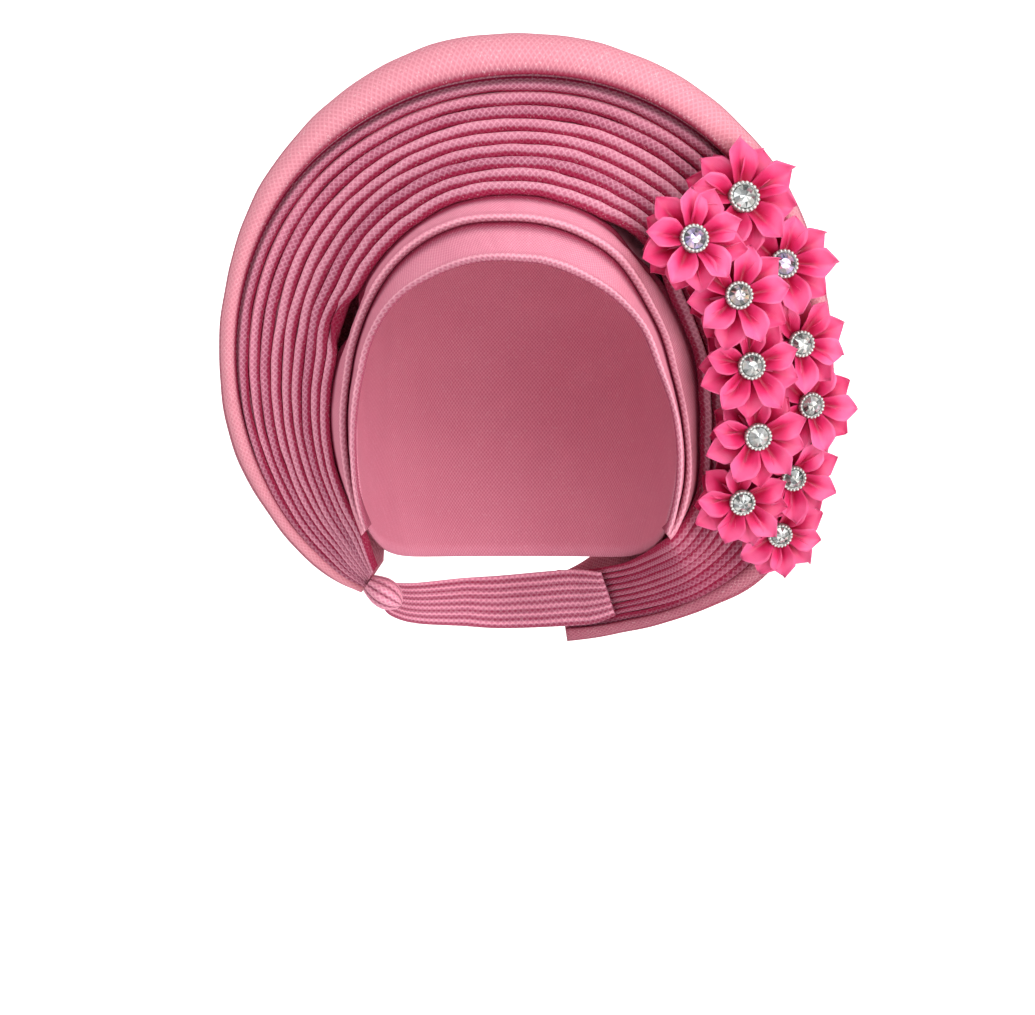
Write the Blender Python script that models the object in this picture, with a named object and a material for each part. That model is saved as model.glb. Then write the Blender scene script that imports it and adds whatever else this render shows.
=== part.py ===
"""A ready tied gele head tie: a soft cap with two brow folds, a fan of nine pleats inside one wide
outer wrap, a gathered knot low on one side, a tie across the nape and a spray of ribbon flowers.

Metres, +Z up. The origin is where the crown of the head meets the inside of the cap. +X is the
wearer's left, the side with the flowers, and -Y is the way the face looks.
"""

import math

import bpy
import bmesh
import numpy as np
from mathutils import Vector
from mathutils.bvhtree import BVHTree

# The head that the tie is made for, and the cap on it.
HEAD_BREADTH = 0.142
HEAD_LENGTH = 0.188
CROWN_DROP = 0.095
NAPE_DROP = 0.172
NAPE_TAPER = 0.140
CAP_WALL = 0.0016

# The fan, drawn round a centre in front of the face.
FAN_RADIUS = 0.128
FAN_CENTRE_X = 0.004
FAN_CENTRE_DROP = 0.080
PLEAT_COUNT = 9
PLEAT_TUCK = 0.45
PLEAT_FILL = 0.42
VALLEY_DEPTH = 0.012
LIP_REACH = 0.009
ROLL_DEPTH = 0.024
BACK_BULGE = 0.005
WRAP_THICKNESS = 0.0022
BAND_THICKNESS = 0.0020
BAND_TUCK = 0.0045
FOLD_GAP = 0.0005

# The ribbon flowers and their stones.
FLOWER_RADIUS = 0.0245
PETALS_A_LAYER = 5
RIBBON_THICKNESS = 0.0011
LAYER_STEP = 0.0032
STALK_RADIUS = 0.0042
SEAT_HEIGHT = 0.0017
LOWER_DROOP = 0.06
SETTING_RADIUS = 0.0068
SETTING_HEIGHT = 0.0032
SETTING_WALL = 0.0019
SETTING_FLOOR = 0.0010
STONE_RISE = 0.0024
STONE_SIDES = 10
SEAT_GAP = 0.0003

# Heights on the stalk, in ribbon thicknesses: below the seat, above the lower petals and below them.
STALK_TOP = 2.2
STALK_BETWEEN = 0.5
STALK_UNDER = 1.3

# The setting's shoulder and inner lip as shares of its height, and the stone's table as a share of
# its girdle.
SETTING_SHOULDER = 0.7
SETTING_LIP = 0.8
STONE_TABLE = 0.55

# The knot and the tie across the nape.
KNOT_LENGTH = 0.017
KNOT_HEIGHT = 0.0135
KNOT_DEPTH = 0.026
NAPE_BREADTH = 0.112
NAPE_LENGTH = 0.120
NAPE_CENTRE = 0.024
NAPE_TIE_HEIGHT = 0.024
NAPE_TIE_THICKNESS = 0.003
NAPE_TIE_STAND = 0.0025

HALF_BREADTH = HEAD_BREADTH / 2
HALF_LENGTH = HEAD_LENGTH / 2

# Round the fan's centre, anticlockwise from +X in front view. inner is a share of half the head's
# breadth; rim and crest are shares of the fan's radius. The depths are shares of half the head's
# length, sag of the valley's depth, lip of the lip's reach and roll of the roll's depth. foot is how
# near the wrap's back edge comes to the fan's centre, as a share of inner.
FAN_COLUMNS = ("angle", "inner", "rim", "crest", "inner_y", "rim_y", "back_y", "sag", "lip", "roll", "foot")
FAN_SECTIONS = (
    (-82.0, 1.40, 0.98, 1.024, 0.84, 0.86, 1.04, 0.0, 0.25, 0.30, 1.02),
    (-70.0, 1.45, 1.00, 1.035, 0.60, 0.65, 0.90, 0.0, 0.20, 0.30, 0.92),
    (-62.0, 1.47, 1.025, 1.050, 0.28, 0.48, 0.70, 0.1, 0.15, 0.35, 0.82),
    (-54.0, 1.47, 1.045, 1.080, -0.15, 0.33, 0.56, 0.2, 0.10, 0.40, 0.75),
    (-44.0, 1.40, 1.060, 1.115, -0.14, 0.23, 0.46, 0.2, 0.15, 0.50, 0.75),
    (-28.0, 1.18, 1.020, 1.085, -0.22, 0.06, 0.34, 0.25, 0.30, 0.60, 0.75),
    (-8.0, 1.02, 0.960, 1.025, -0.34, -0.11, 0.24, 0.3, 0.40, 0.70, 0.75),
    (14.0, 0.89, 0.910, 0.992, -0.48, -0.27, 0.16, 0.45, 0.60, 0.80, 0.75),
    (40.0, 0.845, 0.880, 0.990, -0.67, -0.46, 0.10, 0.7, 0.80, 0.95, 0.75),
    (65.0, 0.81, 0.857, 0.985, -0.765, -0.56, 0.06, 1.0, 1.00, 1.00, 0.75),
    (90.0, 0.825, 0.848, 0.992, -0.80, -0.58, 0.04, 1.0, 1.00, 1.00, 0.75),
    (120.0, 0.89, 0.870, 1.005, -0.76, -0.56, 0.06, 0.9, 0.80, 0.95, 0.75),
    (150.0, 0.98, 0.925, 1.004, -0.60, -0.42, 0.12, 0.8, 0.50, 0.80, 0.75),
    (180.0, 1.10, 0.962, 1.010, -0.36, -0.23, 0.22, 0.6, 0.30, 0.65, 0.75),
    (204.0, 1.30, 0.990, 1.036, -0.21, 0.02, 0.34, 0.4, 0.15, 0.50, 0.75),
    (220.0, 1.44, 1.005, 1.034, -0.13, 0.23, 0.46, 0.2, 0.10, 0.35, 0.79),
    (229.5, 1.53, 1.005, 1.026, -0.14, 0.35, 0.54, 0.1, 0.00, 0.25, 0.86),
    (236.0, 1.66, 0.995, 1.008, 0.06, 0.43, 0.60, 0.0, 0.00, 0.20, 0.96),
)

# The brow fold's free edge, and where the second fold's edge lies between it and the fan.
BROW_COLUMNS = ("angle", "brow", "brow_y", "seam")
BROW_SECTIONS = (
    (-54.0, 1.42, -0.24, 0.56),
    (-42.0, 1.205, -0.42, 0.46),
    (-29.0, 1.00, -0.51, 0.39),
    (-14.0, 0.80, -0.63, 0.37),
    (4.0, 0.675, -0.72, 0.42),
    (20.0, 0.57, -0.83, 0.50),
    (44.0, 0.46, -0.925, 0.59),
    (80.0, 0.415, -0.97, 0.60),
    (100.0, 0.428, -0.97, 0.60),
    (123.0, 0.50, -0.96, 0.66),
    (147.0, 0.635, -0.885, 0.70),
    (166.0, 0.80, -0.78, 0.63),
    (181.0, 0.916, -0.655, 0.55),
    (194.0, 1.01, -0.57, 0.45),
    (213.0, 1.22, -0.43, 0.42),
    (229.5, 1.48, -0.24, 0.50),
)

# The wrap's roll after its lip: how far out, as a share of the way from the lip to the crest, and how
# far back, as a share of the roll's depth.
# The columns are out and back.
WRAP_ROLL = (
    (0.52, 0.02),
    (0.88, 0.25),
    (1.00, 0.62),
    (0.88, 1.00),
)

# How far the cap comes down, as a share of the drop to the nape, by turn from the forehead.
CAP_COLUMNS = ("turn", "drop")
CAP_EDGE = (
    (0.0, 0.25),
    (23.0, 0.27),
    (36.0, 0.275),
    (48.0, 0.308),
    (60.0, 0.45),
    (68.0, 0.54),
    (77.0, 0.70),
    (88.0, 0.89),
    (102.0, 0.96),
    (140.0, 1.0),
    (180.0, 1.0),
)
CAP_TURNS = 28
CAP_LEVELS = 6

# The knot's run and how wide it is there, as shares of its length and its width.
# The columns are run and width.
KNOT_SWELL = ((0.0, 0.62), (0.15, 0.80), (0.45, 1.0), (0.75, 0.86), (0.93, 0.50), (1.0, 0.22))
KNOT_SIDES = 10
KNOT_PLACE = 0.62

# The tie across the nape, between the knot and the pleats' other ends: its turn from the back, its
# drop as a share of the nape's, and its height.
# The columns are turn, drop and height.
NAPE_PATH = (
    (-70.0, 1.105, 0.60),
    (-50.0, 1.12, 0.75),
    (-25.0, 1.12, 0.90),
    (-6.0, 1.12, 1.00),
)
# Its other end, sewn over the pleats' cut ends: an angle of the fan, and its height there.
# The columns are angle and height.
NAPE_ENDS = (
    (-80.0, 1.06),
    (-75.5, 1.02),
    (-71.5, 0.86),
)
NAPE_END_PLACE = 0.47
# Where it leaves the knot, as a share of the knot's length, and how high it is there.
NAPE_START = 0.45
NAPE_START_HEIGHT = 0.7

# One petal of a flower, round from one notch to the next: the turn as a share of a petal, the
# reach and the height of the ribbon's edge, and the height a third of the way in.
# The columns are turn, reach, edge and inside.
PETAL = (
    (-0.50, 0.48, 0.085, 0.065),
    (-0.26, 0.82, 0.100, 0.065),
    (0.00, 1.00, 0.055, 0.035),
    (0.26, 0.82, 0.100, 0.065),
)
PETAL_RING = 0.66

# Each flower: its place on the fan in front view, its size, how far it stands in front of the fan's
# centre plane as a share of half the head's length, its turn about its own axis, and its lean.
FLOWER_COLUMNS = ("angle", "reach", "size", "depth", "spin", "lean_x", "lean_z")
FLOWERS = (
    (33.0, 0.824, 1.00, -0.608, 97.0, 0.28, 0.12),
    (30.2, 0.610, 0.90, -0.771, 24.0, 0.22, 0.10),
    (16.3, 0.862, 0.92, -0.470, 72.0, 0.26, 0.04),
    (11.1, 0.688, 0.88, -0.653, 6.0, 0.20, 0.02),
    (-0.7, 0.889, 0.85, -0.347, 60.0, 0.32, -0.08),
    (-6.8, 0.727, 0.87, -0.513, 20.0, 0.20, -0.14),
    (-12.5, 0.953, 0.84, -0.207, 72.0, 0.28, -0.20),
    (-22.5, 0.812, 0.87, -0.367, 26.0, 0.18, -0.26),
    (-26.8, 0.983, 0.82, -0.116, 60.0, 0.24, -0.34),
    (-36.5, 0.879, 0.83, -0.209, 30.0, 0.14, -0.36),
    (-36.8, 1.053, 0.80, 0.050, 66.0, 0.18, -0.40),
)

STATION_STEP = 12.0


def column(table, columns, name, angle):
    """One named column of a table of sections, read at an angle by a smooth curve through its rows."""
    index = columns.index(name)
    at = np.array([row[0] for row in table])
    value = np.array([row[index] for row in table])
    rise = np.diff(value) / np.diff(at)
    slope = np.concatenate([[rise[0]], (rise[1:] + rise[:-1]) / 2, [rise[-1]]])
    slope[1:-1][rise[1:] * rise[:-1] <= 0] = 0
    i = int(np.clip(np.searchsorted(at, angle) - 1, 0, len(at) - 2))
    step = at[i + 1] - at[i]
    t = (angle - at[i]) / step
    return float(
        value[i] * (1 + 2 * t) * (1 - t) ** 2
        + slope[i] * step * t * (1 - t) ** 2
        + value[i + 1] * t * t * (3 - 2 * t)
        + slope[i + 1] * step * t * t * (t - 1)
    )


def fan(name, angle):
    """A column of the fan's sections."""
    return column(FAN_SECTIONS, FAN_COLUMNS, name, angle)


def brow(name, angle):
    """A column of the brow's sections."""
    return column(BROW_SECTIONS, BROW_COLUMNS, name, angle)


def in_frame(angle, points):
    """Points of one section, each a reach from the fan's centre and a depth, as places in space."""
    a = math.radians(angle)
    return [
        Vector((FAN_CENTRE_X + r * math.cos(a), y, r * math.sin(a) - FAN_CENTRE_DROP))
        for r, y in points
    ]


def stations(first, last):
    """Angles from first to last, all of them angles that the whole fan uses too."""
    ends = (FAN_SECTIONS[0][0], BROW_SECTIONS[0][0], BROW_SECTIONS[-1][0], FAN_SECTIONS[-1][0])
    found = []
    for start, stop in zip(ends, ends[1:]):
        count = max(2, round((stop - start) / STATION_STEP) + 1)
        found.extend(np.linspace(start, stop, count))
    return [a for a in np.unique(np.round(found, 6)) if first <= a <= last]


def unit(v):
    """A vector of length one."""
    return v / np.linalg.norm(v)


def outward(direction):
    """The side of a section that shows: the direction turned a quarter turn, to the front."""
    return np.array([direction[1], -direction[0]])


def fan_section(angle):
    """The straight line under the pleats at an angle: its inner end, its direction and its length."""
    inner = np.array([fan("inner", angle) * HALF_BREADTH, fan("inner_y", angle) * HALF_LENGTH])
    rim = np.array([fan("rim", angle) * FAN_RADIUS, fan("rim_y", angle) * HALF_LENGTH])
    return inner, unit(rim - inner), float(np.linalg.norm(rim - inner))


def ridge(angle, share):
    """A point of the surface that the pleats' edges lie on, sagging back between brow and rim."""
    inner, along, length = fan_section(angle)
    sag = fan("sag", angle) * VALLEY_DEPTH * math.sin(math.pi * min(max(share, 0.0), 1.0) ** 1.3)
    return inner + along * length * share + np.array([0.0, sag])


def pleat_thickness(angle):
    """A pleat is two layers of cloth, as thick as its share of the space between two edges."""
    return PLEAT_FILL * fan_section(angle)[2] / PLEAT_COUNT


def fold(middle, thickness):
    """The outline of a folded strip round its middle line, with a rounded edge at its first point."""
    middle = [np.array(p, float) for p in middle]
    half = thickness / 2
    runs = [unit(b - a) for a, b in zip(middle, middle[1:])]
    sides = [outward(runs[0])]
    for before, after in zip(runs, runs[1:]):
        bisector = unit(outward(before) + outward(after))
        sides.append(bisector / max(0.5, float(bisector @ outward(after))))
    sides.append(outward(runs[-1]))
    nose = middle[0] + runs[0] * half
    edge = [
        nose + half * (math.sin(turn) * outward(runs[0]) - math.cos(turn) * runs[0])
        for turn in np.radians((90, 0, -90))
    ]
    back = [p - side * half for p, side in zip(middle[1:], sides[1:])]
    front = [p + side * half for p, side in zip(middle[1:], sides[1:])]
    return edge + back + front[::-1]


def tucked(start, thickness, outer, outer_thickness, tuck):
    """The middle line of a fold from its free edge to where it ends behind the next fold out."""
    along = unit(outer[1] - outer[0])
    behind = -outward(along)
    turn_in = outer[0] + behind * ((thickness + outer_thickness) / 2 + FOLD_GAP)
    return [start, turn_in, turn_in + along * tuck]


def cap_reach(angle, depth):
    """How far from the fan's centre the cap's outside lies, at an angle and a depth."""
    a = math.radians(angle)
    near, far = 0.0, 3 * HEAD_LENGTH
    for _ in range(40):
        r = (near + far) / 2
        x = (FAN_CENTRE_X + r * math.cos(a)) / (HALF_BREADTH + CAP_WALL)
        level = r * math.sin(a) - FAN_CENTRE_DROP + CROWN_DROP
        z = level / (CROWN_DROP + CAP_WALL if level > 0 else NAPE_TAPER)
        if x * x + z * z + (depth / (HALF_LENGTH + CAP_WALL)) ** 2 > 1:
            far = r
        else:
            near = r
    return near


def wrap_middle(angle):
    """The middle line of the outer wrap: lip, crest, shoulder, and the back down to the cap."""
    _, along, _ = fan_section(angle)
    thickness = WRAP_THICKNESS
    lip = ridge(angle, 1.0) - outward(along) * thickness / 2
    lip = lip - np.array([0.0, fan("lip", angle) * LIP_REACH])
    roll = fan("roll", angle) * ROLL_DEPTH
    width = fan("crest", angle) * FAN_RADIUS - thickness / 2 - lip[0]
    rolled = [lip + np.array([out * width, back * roll]) for out, back in WRAP_ROLL]
    depth = fan("back_y", angle) * HALF_LENGTH
    lowest = fan("foot", angle) * fan("inner", angle) * HALF_BREADTH
    foot = np.array([max(cap_reach(angle, depth) + thickness / 2 + SEAT_GAP, lowest), depth])
    middle_of_back = (rolled[-1] + foot) / 2 + np.array([0.0, BACK_BULGE])
    return [lip, *rolled, middle_of_back, foot]


def folds_at(angle):
    """The middle lines of the pleats and the brow folds at an angle, from the outer wrap inwards.

    Each one starts at its free edge, nearest the brow, and ends behind the fold outside it. The
    first of them is the line under the wrap's lip.
    """
    thickness = pleat_thickness(angle)
    _, along, length = fan_section(angle)
    under_lip = ridge(angle, 1.0) - outward(along) * WRAP_THICKNESS / 2
    lines = [[under_lip, under_lip + along]]
    outer_thickness = WRAP_THICKNESS
    for number in range(1, PLEAT_COUNT + 1):
        share = (PLEAT_COUNT - number) / PLEAT_COUNT
        start = ridge(angle, share) - outward(along) * thickness / 2
        tuck = PLEAT_TUCK * length / PLEAT_COUNT
        lines.append(tucked(start, thickness, lines[-1], outer_thickness, tuck))
        outer_thickness = thickness
    if BROW_SECTIONS[0][0] <= angle <= BROW_SECTIONS[-1][0]:
        edge = np.array([brow("brow", angle) * HALF_BREADTH, brow("brow_y", angle) * HALF_LENGTH])
        inmost = lines[-1][0]
        across = unit(inmost - edge)
        inset = -outward(across) * BAND_THICKNESS / 2
        seam = edge + (inmost - edge) * brow("seam", angle)
        width = float(np.linalg.norm(inmost - edge))
        tuck = min(BAND_TUCK, 0.35 * width)
        lines.append(tucked(seam + inset, BAND_THICKNESS, lines[-1], outer_thickness, tuck))
        lines.append(tucked(edge + inset, BAND_THICKNESS, lines[-1], BAND_THICKNESS, tuck))
    return lines


CLOTH = (0.80, 0.33, 0.45)
RIBBON = (0.86, 0.16, 0.36)
SILVER = (0.75, 0.74, 0.72)
CRYSTAL = (0.80, 0.80, 0.84)


def named_mesh(name, shape, colour, roughness, metallic=0.0, smooth_below=50.0):
    """An object of a shape's points and faces, its faces turned out, with its own material."""
    points, faces = shape
    mesh = bpy.data.meshes.new(name)
    mesh.from_pydata([tuple(p) for p in points], [], faces)
    made = bpy.data.objects.new(name, mesh)
    bpy.context.scene.collection.objects.link(made)
    turning = bmesh.new()
    turning.from_mesh(mesh)
    bmesh.ops.recalc_face_normals(turning, faces=turning.faces)
    turning.to_mesh(mesh)
    turning.free()
    mesh.shade_smooth()
    mesh.set_sharp_from_angle(angle=math.radians(smooth_below))
    finish = bpy.data.materials.new(name)
    finish.use_nodes = True
    shader = finish.node_tree.nodes["Principled BSDF"]
    shader.inputs["Base Color"].default_value = (*colour, 1.0)
    shader.inputs["Roughness"].default_value = roughness
    shader.inputs["Metallic"].default_value = metallic
    mesh.materials.append(finish)
    return made


def joined(first, second):
    """The faces between two rings that go the same way round, given as lists of point numbers.

    A ring may be a single point, and one ring may have half as many points as the other.
    """
    if len(first) < len(second):
        return [face[::-1] for face in joined(second, first)]
    count, half = len(first), len(second)
    faces = []
    if half == 1:
        return [(first[i], first[(i + 1) % count], second[0]) for i in range(count)]
    if half == count:
        for i in range(count):
            k = (i + 1) % count
            faces.append((first[i], first[k], second[k]))
            faces.append((first[i], second[k], second[i]))
        return faces
    for i in range(half):
        k = (i + 1) % half
        a, b, c = first[2 * i], first[2 * i + 1], first[(2 * i + 2) % count]
        faces += [(a, b, second[i]), (b, second[k], second[i]), (b, c, second[k])]
    return faces


def skin(rings):
    """A closed shape through rings of points, the first and the last of them single points."""
    points, faces, before = [], [], None
    for ring in rings:
        here = list(range(len(points), len(points) + len(ring)))
        points.extend(ring)
        if before is not None:
            faces.extend(joined(before, here))
        before = here
    return points, faces


def loft(rings):
    """A closed shape through sections of equal count, with flat ends."""
    points, faces = skin(rings)
    last = len(points) - len(rings[-1])
    faces.append(tuple(range(len(rings[0])))[::-1])
    faces.append(tuple(range(last, len(points))))
    return points, faces


def folded_loft(rings):
    """A closed shape through folded sections, both its sides cut into triangles the same way."""
    count = len(rings[0])
    front = (count + 3) // 2
    points = [p for ring in rings for p in ring]
    faces = []
    for i in range(len(rings) - 1):
        for j in range(count):
            a, b = i * count + j, i * count + (j + 1) % count
            c, d = b + count, a + count
            if j < 1 or j >= front:
                faces += [(a, b, d), (b, c, d)]
            else:
                faces += [(a, b, c), (a, c, d)]
    faces.append(tuple(range(count))[::-1])
    faces.append(tuple(range((len(rings) - 1) * count, len(rings) * count)))
    return points, faces


def strip(name, middle_of, thickness_of, ends):
    """A folded strip of cloth run round the fan through the section at each station."""
    rings = [in_frame(a, fold(middle_of(a), thickness_of(a))) for a in stations(*ends)]
    return named_mesh(name, folded_loft(rings), CLOTH, 0.75)


def make_folds():
    """The outer wrap, the pleats inside it, and the two wide folds that frame the face."""
    whole = (FAN_SECTIONS[0][0], FAN_SECTIONS[-1][0])
    face = (BROW_SECTIONS[0][0], BROW_SECTIONS[-1][0])
    made = [strip("outer_wrap", wrap_middle, lambda a: WRAP_THICKNESS, whole)]
    for n in range(1, PLEAT_COUNT + 1):
        made.append(strip(f"pleat_{n}", lambda a, n=n: folds_at(a)[n], pleat_thickness, whole))
    for i, name in enumerate(("upper_fold", "brow_fold")):
        n = PLEAT_COUNT + 1 + i
        made.append(strip(name, lambda a, n=n: folds_at(a)[n], lambda a: BAND_THICKNESS, face))
    return made


def cap_point(around, fall, wall):
    """A point of the cap: its turn from the forehead, its fall from the crown, and its layer."""
    tall = CROWN_DROP + wall if fall < math.pi / 2 else NAPE_TAPER
    return Vector(
        (
            math.sin(around) * math.sin(fall) * (HALF_BREADTH + wall),
            -math.cos(around) * math.sin(fall) * (HALF_LENGTH + wall),
            math.cos(fall) * tall - CROWN_DROP,
        )
    )


def make_cap():
    """The soft cap: a dome over the head, cut away at the face."""
    layers = []
    for wall in (CAP_WALL, 0.0):
        rings = [[Vector((0.0, 0.0, wall))]]
        for level in range(1, CAP_LEVELS + 1):
            ring = []
            for turn in range(CAP_TURNS):
                around = 360.0 * turn / CAP_TURNS
                share = column(CAP_EDGE, CAP_COLUMNS, "drop", min(around, 360.0 - around))
                low = CROWN_DROP - share * NAPE_DROP
                if low > 0:
                    lowest = math.acos(low / CROWN_DROP)
                else:
                    lowest = math.pi / 2 + math.asin(-low / NAPE_TAPER)
                ring.append(cap_point(math.radians(around), lowest * level / CAP_LEVELS, wall))
            rings.append(ring)
        layers.append(rings)
    return named_mesh("crown_cap", skin(layers[0] + layers[1][::-1]), CLOTH, 0.8)


def knot_middle():
    """Where the knot's axis meets the pleats' lower ends, and the way that it runs."""
    end = FAN_SECTIONS[-1][0]
    inner, along, length = fan_section(end)
    a = math.radians(end)
    down = Vector((-math.sin(a), 0.0, math.cos(a)))
    return in_frame(end, [inner + along * length * KNOT_PLACE])[0], down


def make_knot():
    """The gathered cloth below the pleats' lower ends: a soft bulb, pinched where they enter it."""
    centre, down = knot_middle()
    a = math.radians(FAN_SECTIONS[-1][0])
    out = Vector((math.cos(a), 0.0, math.sin(a)))
    rings = []
    for run, share in KNOT_SWELL:
        ring = []
        for side in range(KNOT_SIDES):
            t = 2 * math.pi * side / KNOT_SIDES
            across = out * math.cos(t) * KNOT_HEIGHT / 2 * share
            deep = Vector((0.0, math.sin(t) * KNOT_DEPTH / 2 * share, 0.0))
            ring.append(centre + down * (FOLD_GAP + run * KNOT_LENGTH) + across + deep)
        rings.append(ring)
    return named_mesh("side_knot", loft(rings), CLOTH, 0.75)


def nape_path():
    """The places that the nape tie runs through, from the knot to the pleats' cut ends, with the way
    that its height runs and its height at each."""
    upright = Vector((0.0, 0.0, 1.0))
    stand = NAPE_TIE_THICKNESS / 2 + NAPE_TIE_STAND
    start, down = knot_middle()
    start = start + down * (KNOT_LENGTH * NAPE_START)
    start.y += KNOT_DEPTH / 2 + SEAT_GAP
    path = [(start, upright, NAPE_PATH[0][2] * NAPE_START_HEIGHT)]
    for turn, drop, height in NAPE_PATH:
        a = math.radians(turn)
        x = math.sin(a) * (NAPE_BREADTH / 2 + stand)
        y = math.cos(a) * (NAPE_LENGTH / 2 + stand) + NAPE_CENTRE
        path.append((Vector((x, y, -drop * NAPE_DROP)), upright, height))
    for angle, height in NAPE_ENDS:
        low, seat, high = in_frame(angle, [ridge(angle, share) for share in (1.0, NAPE_END_PLACE, 0.0)])
        path.append((seat - Vector((0.0, stand, 0.0)), (high - low).normalized(), height))
    return path


def make_nape_tie():
    """The plain tie behind the neck, from the knot round to the pleats' other ends."""
    path = nape_path()
    places = [step[0] for step in path]
    rings = []
    for i, (place, tall, height) in enumerate(path):
        run = places[min(i + 1, len(path) - 1)] - places[max(i - 1, 0)]
        high = tall * NAPE_TIE_HEIGHT * height / 2
        wide = run.cross(tall).normalized() * NAPE_TIE_THICKNESS / 2
        corners = ((1, 0), (0.5, 1), (-0.5, 1), (-1, 0), (-0.5, -1), (0.5, -1))
        rings.append([place + high * p + wide * q for p, q in corners])
    return named_mesh("nape_tie", loft(rings), CLOTH, 0.75)


def flower_frame(row):
    """A flower's centre, the way it faces, and two directions across it."""
    angle, reach, _, depth, spin, lean_x, lean_z = row
    centre = in_frame(angle, [(reach * FAN_RADIUS, depth * HALF_LENGTH)])[0]
    facing = Vector((lean_x, -1.0, lean_z)).normalized()
    right = facing.cross(Vector((0.0, 0.0, 1.0))).normalized() * -1.0
    up = right.cross(facing) * -1.0
    turn = math.radians(spin)
    first = right * math.cos(turn) + up * math.sin(turn)
    return centre, facing, first, facing.cross(first)


def around(frame, turn, reach, height):
    """A point of a flower from its turn about the flower's axis, its reach and its height."""
    centre, facing, first, second = frame
    return centre + facing * height + (first * math.cos(turn) + second * math.sin(turn)) * reach


def petal_rings(frame, radius, turn, height, droop):
    """Three rings of a layer of pointed petals: inside the edge, the edge, and below the edge."""
    rings = [[], [], []]
    for petal in range(PETALS_A_LAYER):
        for share, reach, edge, inside in PETAL:
            a = 2 * math.pi * (petal + share) / PETALS_A_LAYER + turn
            low = droop * radius * reach * reach
            at_edge = edge * radius + height - low
            at_ring = inside * radius + height - low * PETAL_RING**2
            rings[0].append(around(frame, a, reach * radius * PETAL_RING, at_ring))
            rings[1].append(around(frame, a, reach * radius, at_edge))
            rings[2].append(around(frame, a, reach * radius, at_edge - RIBBON_THICKNESS))
    return rings


def stalk_ring(frame, turn, height):
    """A ring of the stalk, two points to a petal, in line with the petals' tips and notches."""
    count = 2 * PETALS_A_LAYER
    return [
        around(frame, 2 * math.pi * (i - 1) / count + turn, STALK_RADIUS, height)
        for i in range(count)
    ]


def seat_below(frame, carriers):
    """How far behind a flower's centre the cloth that carries it lies, under the stalk's foot."""
    facing = frame[1]
    nearest = HEAD_LENGTH
    for share in (0.0, 0.35, 0.7, 1.0):
        for turn in range(20):
            start = around(frame, math.pi * turn / 10, STALK_RADIUS * share, 0.0)
            for tree in carriers:
                hit = tree.ray_cast(start, -facing)
                if hit[0] is not None:
                    nearest = min(nearest, hit[3])
    return nearest


def turned(frame, profile):
    """A closed shape turned round a flower's axis, its profile given as reach and height."""
    rings = []
    for reach, height in profile:
        count = STONE_SIDES if reach else 1
        rings.append([around(frame, 2 * math.pi * i / count, reach, height) for i in range(count)])
    return skin(rings)


def make_flower(number, row, carriers):
    """One ribbon flower: two layers of petals on a stalk, a beaded setting and a cut stone."""
    size = row[FLOWER_COLUMNS.index("size")]
    frame = flower_frame(row)
    radius = FLOWER_RADIUS * size
    foot = SEAT_GAP - seat_below(frame, carriers)
    half_turn = math.pi / PETALS_A_LAYER
    rings = [[around(frame, 0.0, 0.0, SEAT_HEIGHT)]]
    rings += petal_rings(frame, radius, 0.0, 0.0, 0.0)
    rings.append(stalk_ring(frame, 0.0, SEAT_HEIGHT - STALK_TOP * RIBBON_THICKNESS))
    between = SEAT_HEIGHT - LAYER_STEP - STALK_BETWEEN * RIBBON_THICKNESS
    rings.append(stalk_ring(frame, 0.0, between))
    lower = petal_rings(frame, radius, -half_turn, -LAYER_STEP, LOWER_DROOP)
    rings += [ring[2:] + ring[:2] for ring in lower]
    rings.append(stalk_ring(frame, 0.0, -LAYER_STEP - STALK_UNDER * RIBBON_THICKNESS))
    rings.append(stalk_ring(frame, 0.0, foot))
    rings.append([around(frame, 0.0, 0.0, foot)])
    named_mesh(f"flower_{number}", skin(rings), RIBBON, 0.4)

    outer = SETTING_RADIUS * size
    inner = outer - SETTING_WALL
    base = SEAT_HEIGHT + SEAT_GAP
    floor = base + SETTING_FLOOR
    rim = base + SETTING_HEIGHT
    cup = (
        (0.0, base),
        (outer, base),
        (outer, base + SETTING_HEIGHT * SETTING_SHOULDER),
        (outer - SETTING_WALL / 2, rim),
        (inner, base + SETTING_HEIGHT * SETTING_LIP),
        (inner, floor),
        (0.0, floor),
    )
    named_mesh(f"setting_{number}", turned(frame, cup), SILVER, 0.25, 0.9)
    girdle = inner - SEAT_GAP
    table = rim + STONE_RISE - SETTING_HEIGHT / 2
    cut = (
        (0.0, floor + SEAT_GAP),
        (girdle, floor + SEAT_GAP),
        (girdle, base + SETTING_HEIGHT * SETTING_LIP),
        (girdle * STONE_TABLE, table),
        (0.0, table),
    )
    named_mesh(f"stone_{number}", turned(frame, cut), CRYSTAL, 0.05, 0.0, 5.0)


def main():
    """Builds the whole head tie."""
    for old in list(bpy.data.objects):
        bpy.data.objects.remove(old)
    make_cap()
    folds = make_folds()
    make_knot()
    make_nape_tie()
    carriers = []
    for made in folds:
        points = [v.co for v in made.data.vertices]
        carriers.append(BVHTree.FromPolygons(points, [tuple(f.vertices) for f in made.data.polygons]))
    for number, row in enumerate(FLOWERS, 1):
        make_flower(number, row, carriers)


main()
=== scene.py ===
"""Dresses a packed gele head tie: woven pleats, wrap and brow folds, ribbon flowers and stones.

Metres, +Z up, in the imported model's own frame: the origin is the crown of the head, +X the
wearer's left and -Y the front.
"""

import logging
import math
from dataclasses import dataclass
from enum import Enum

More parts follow.
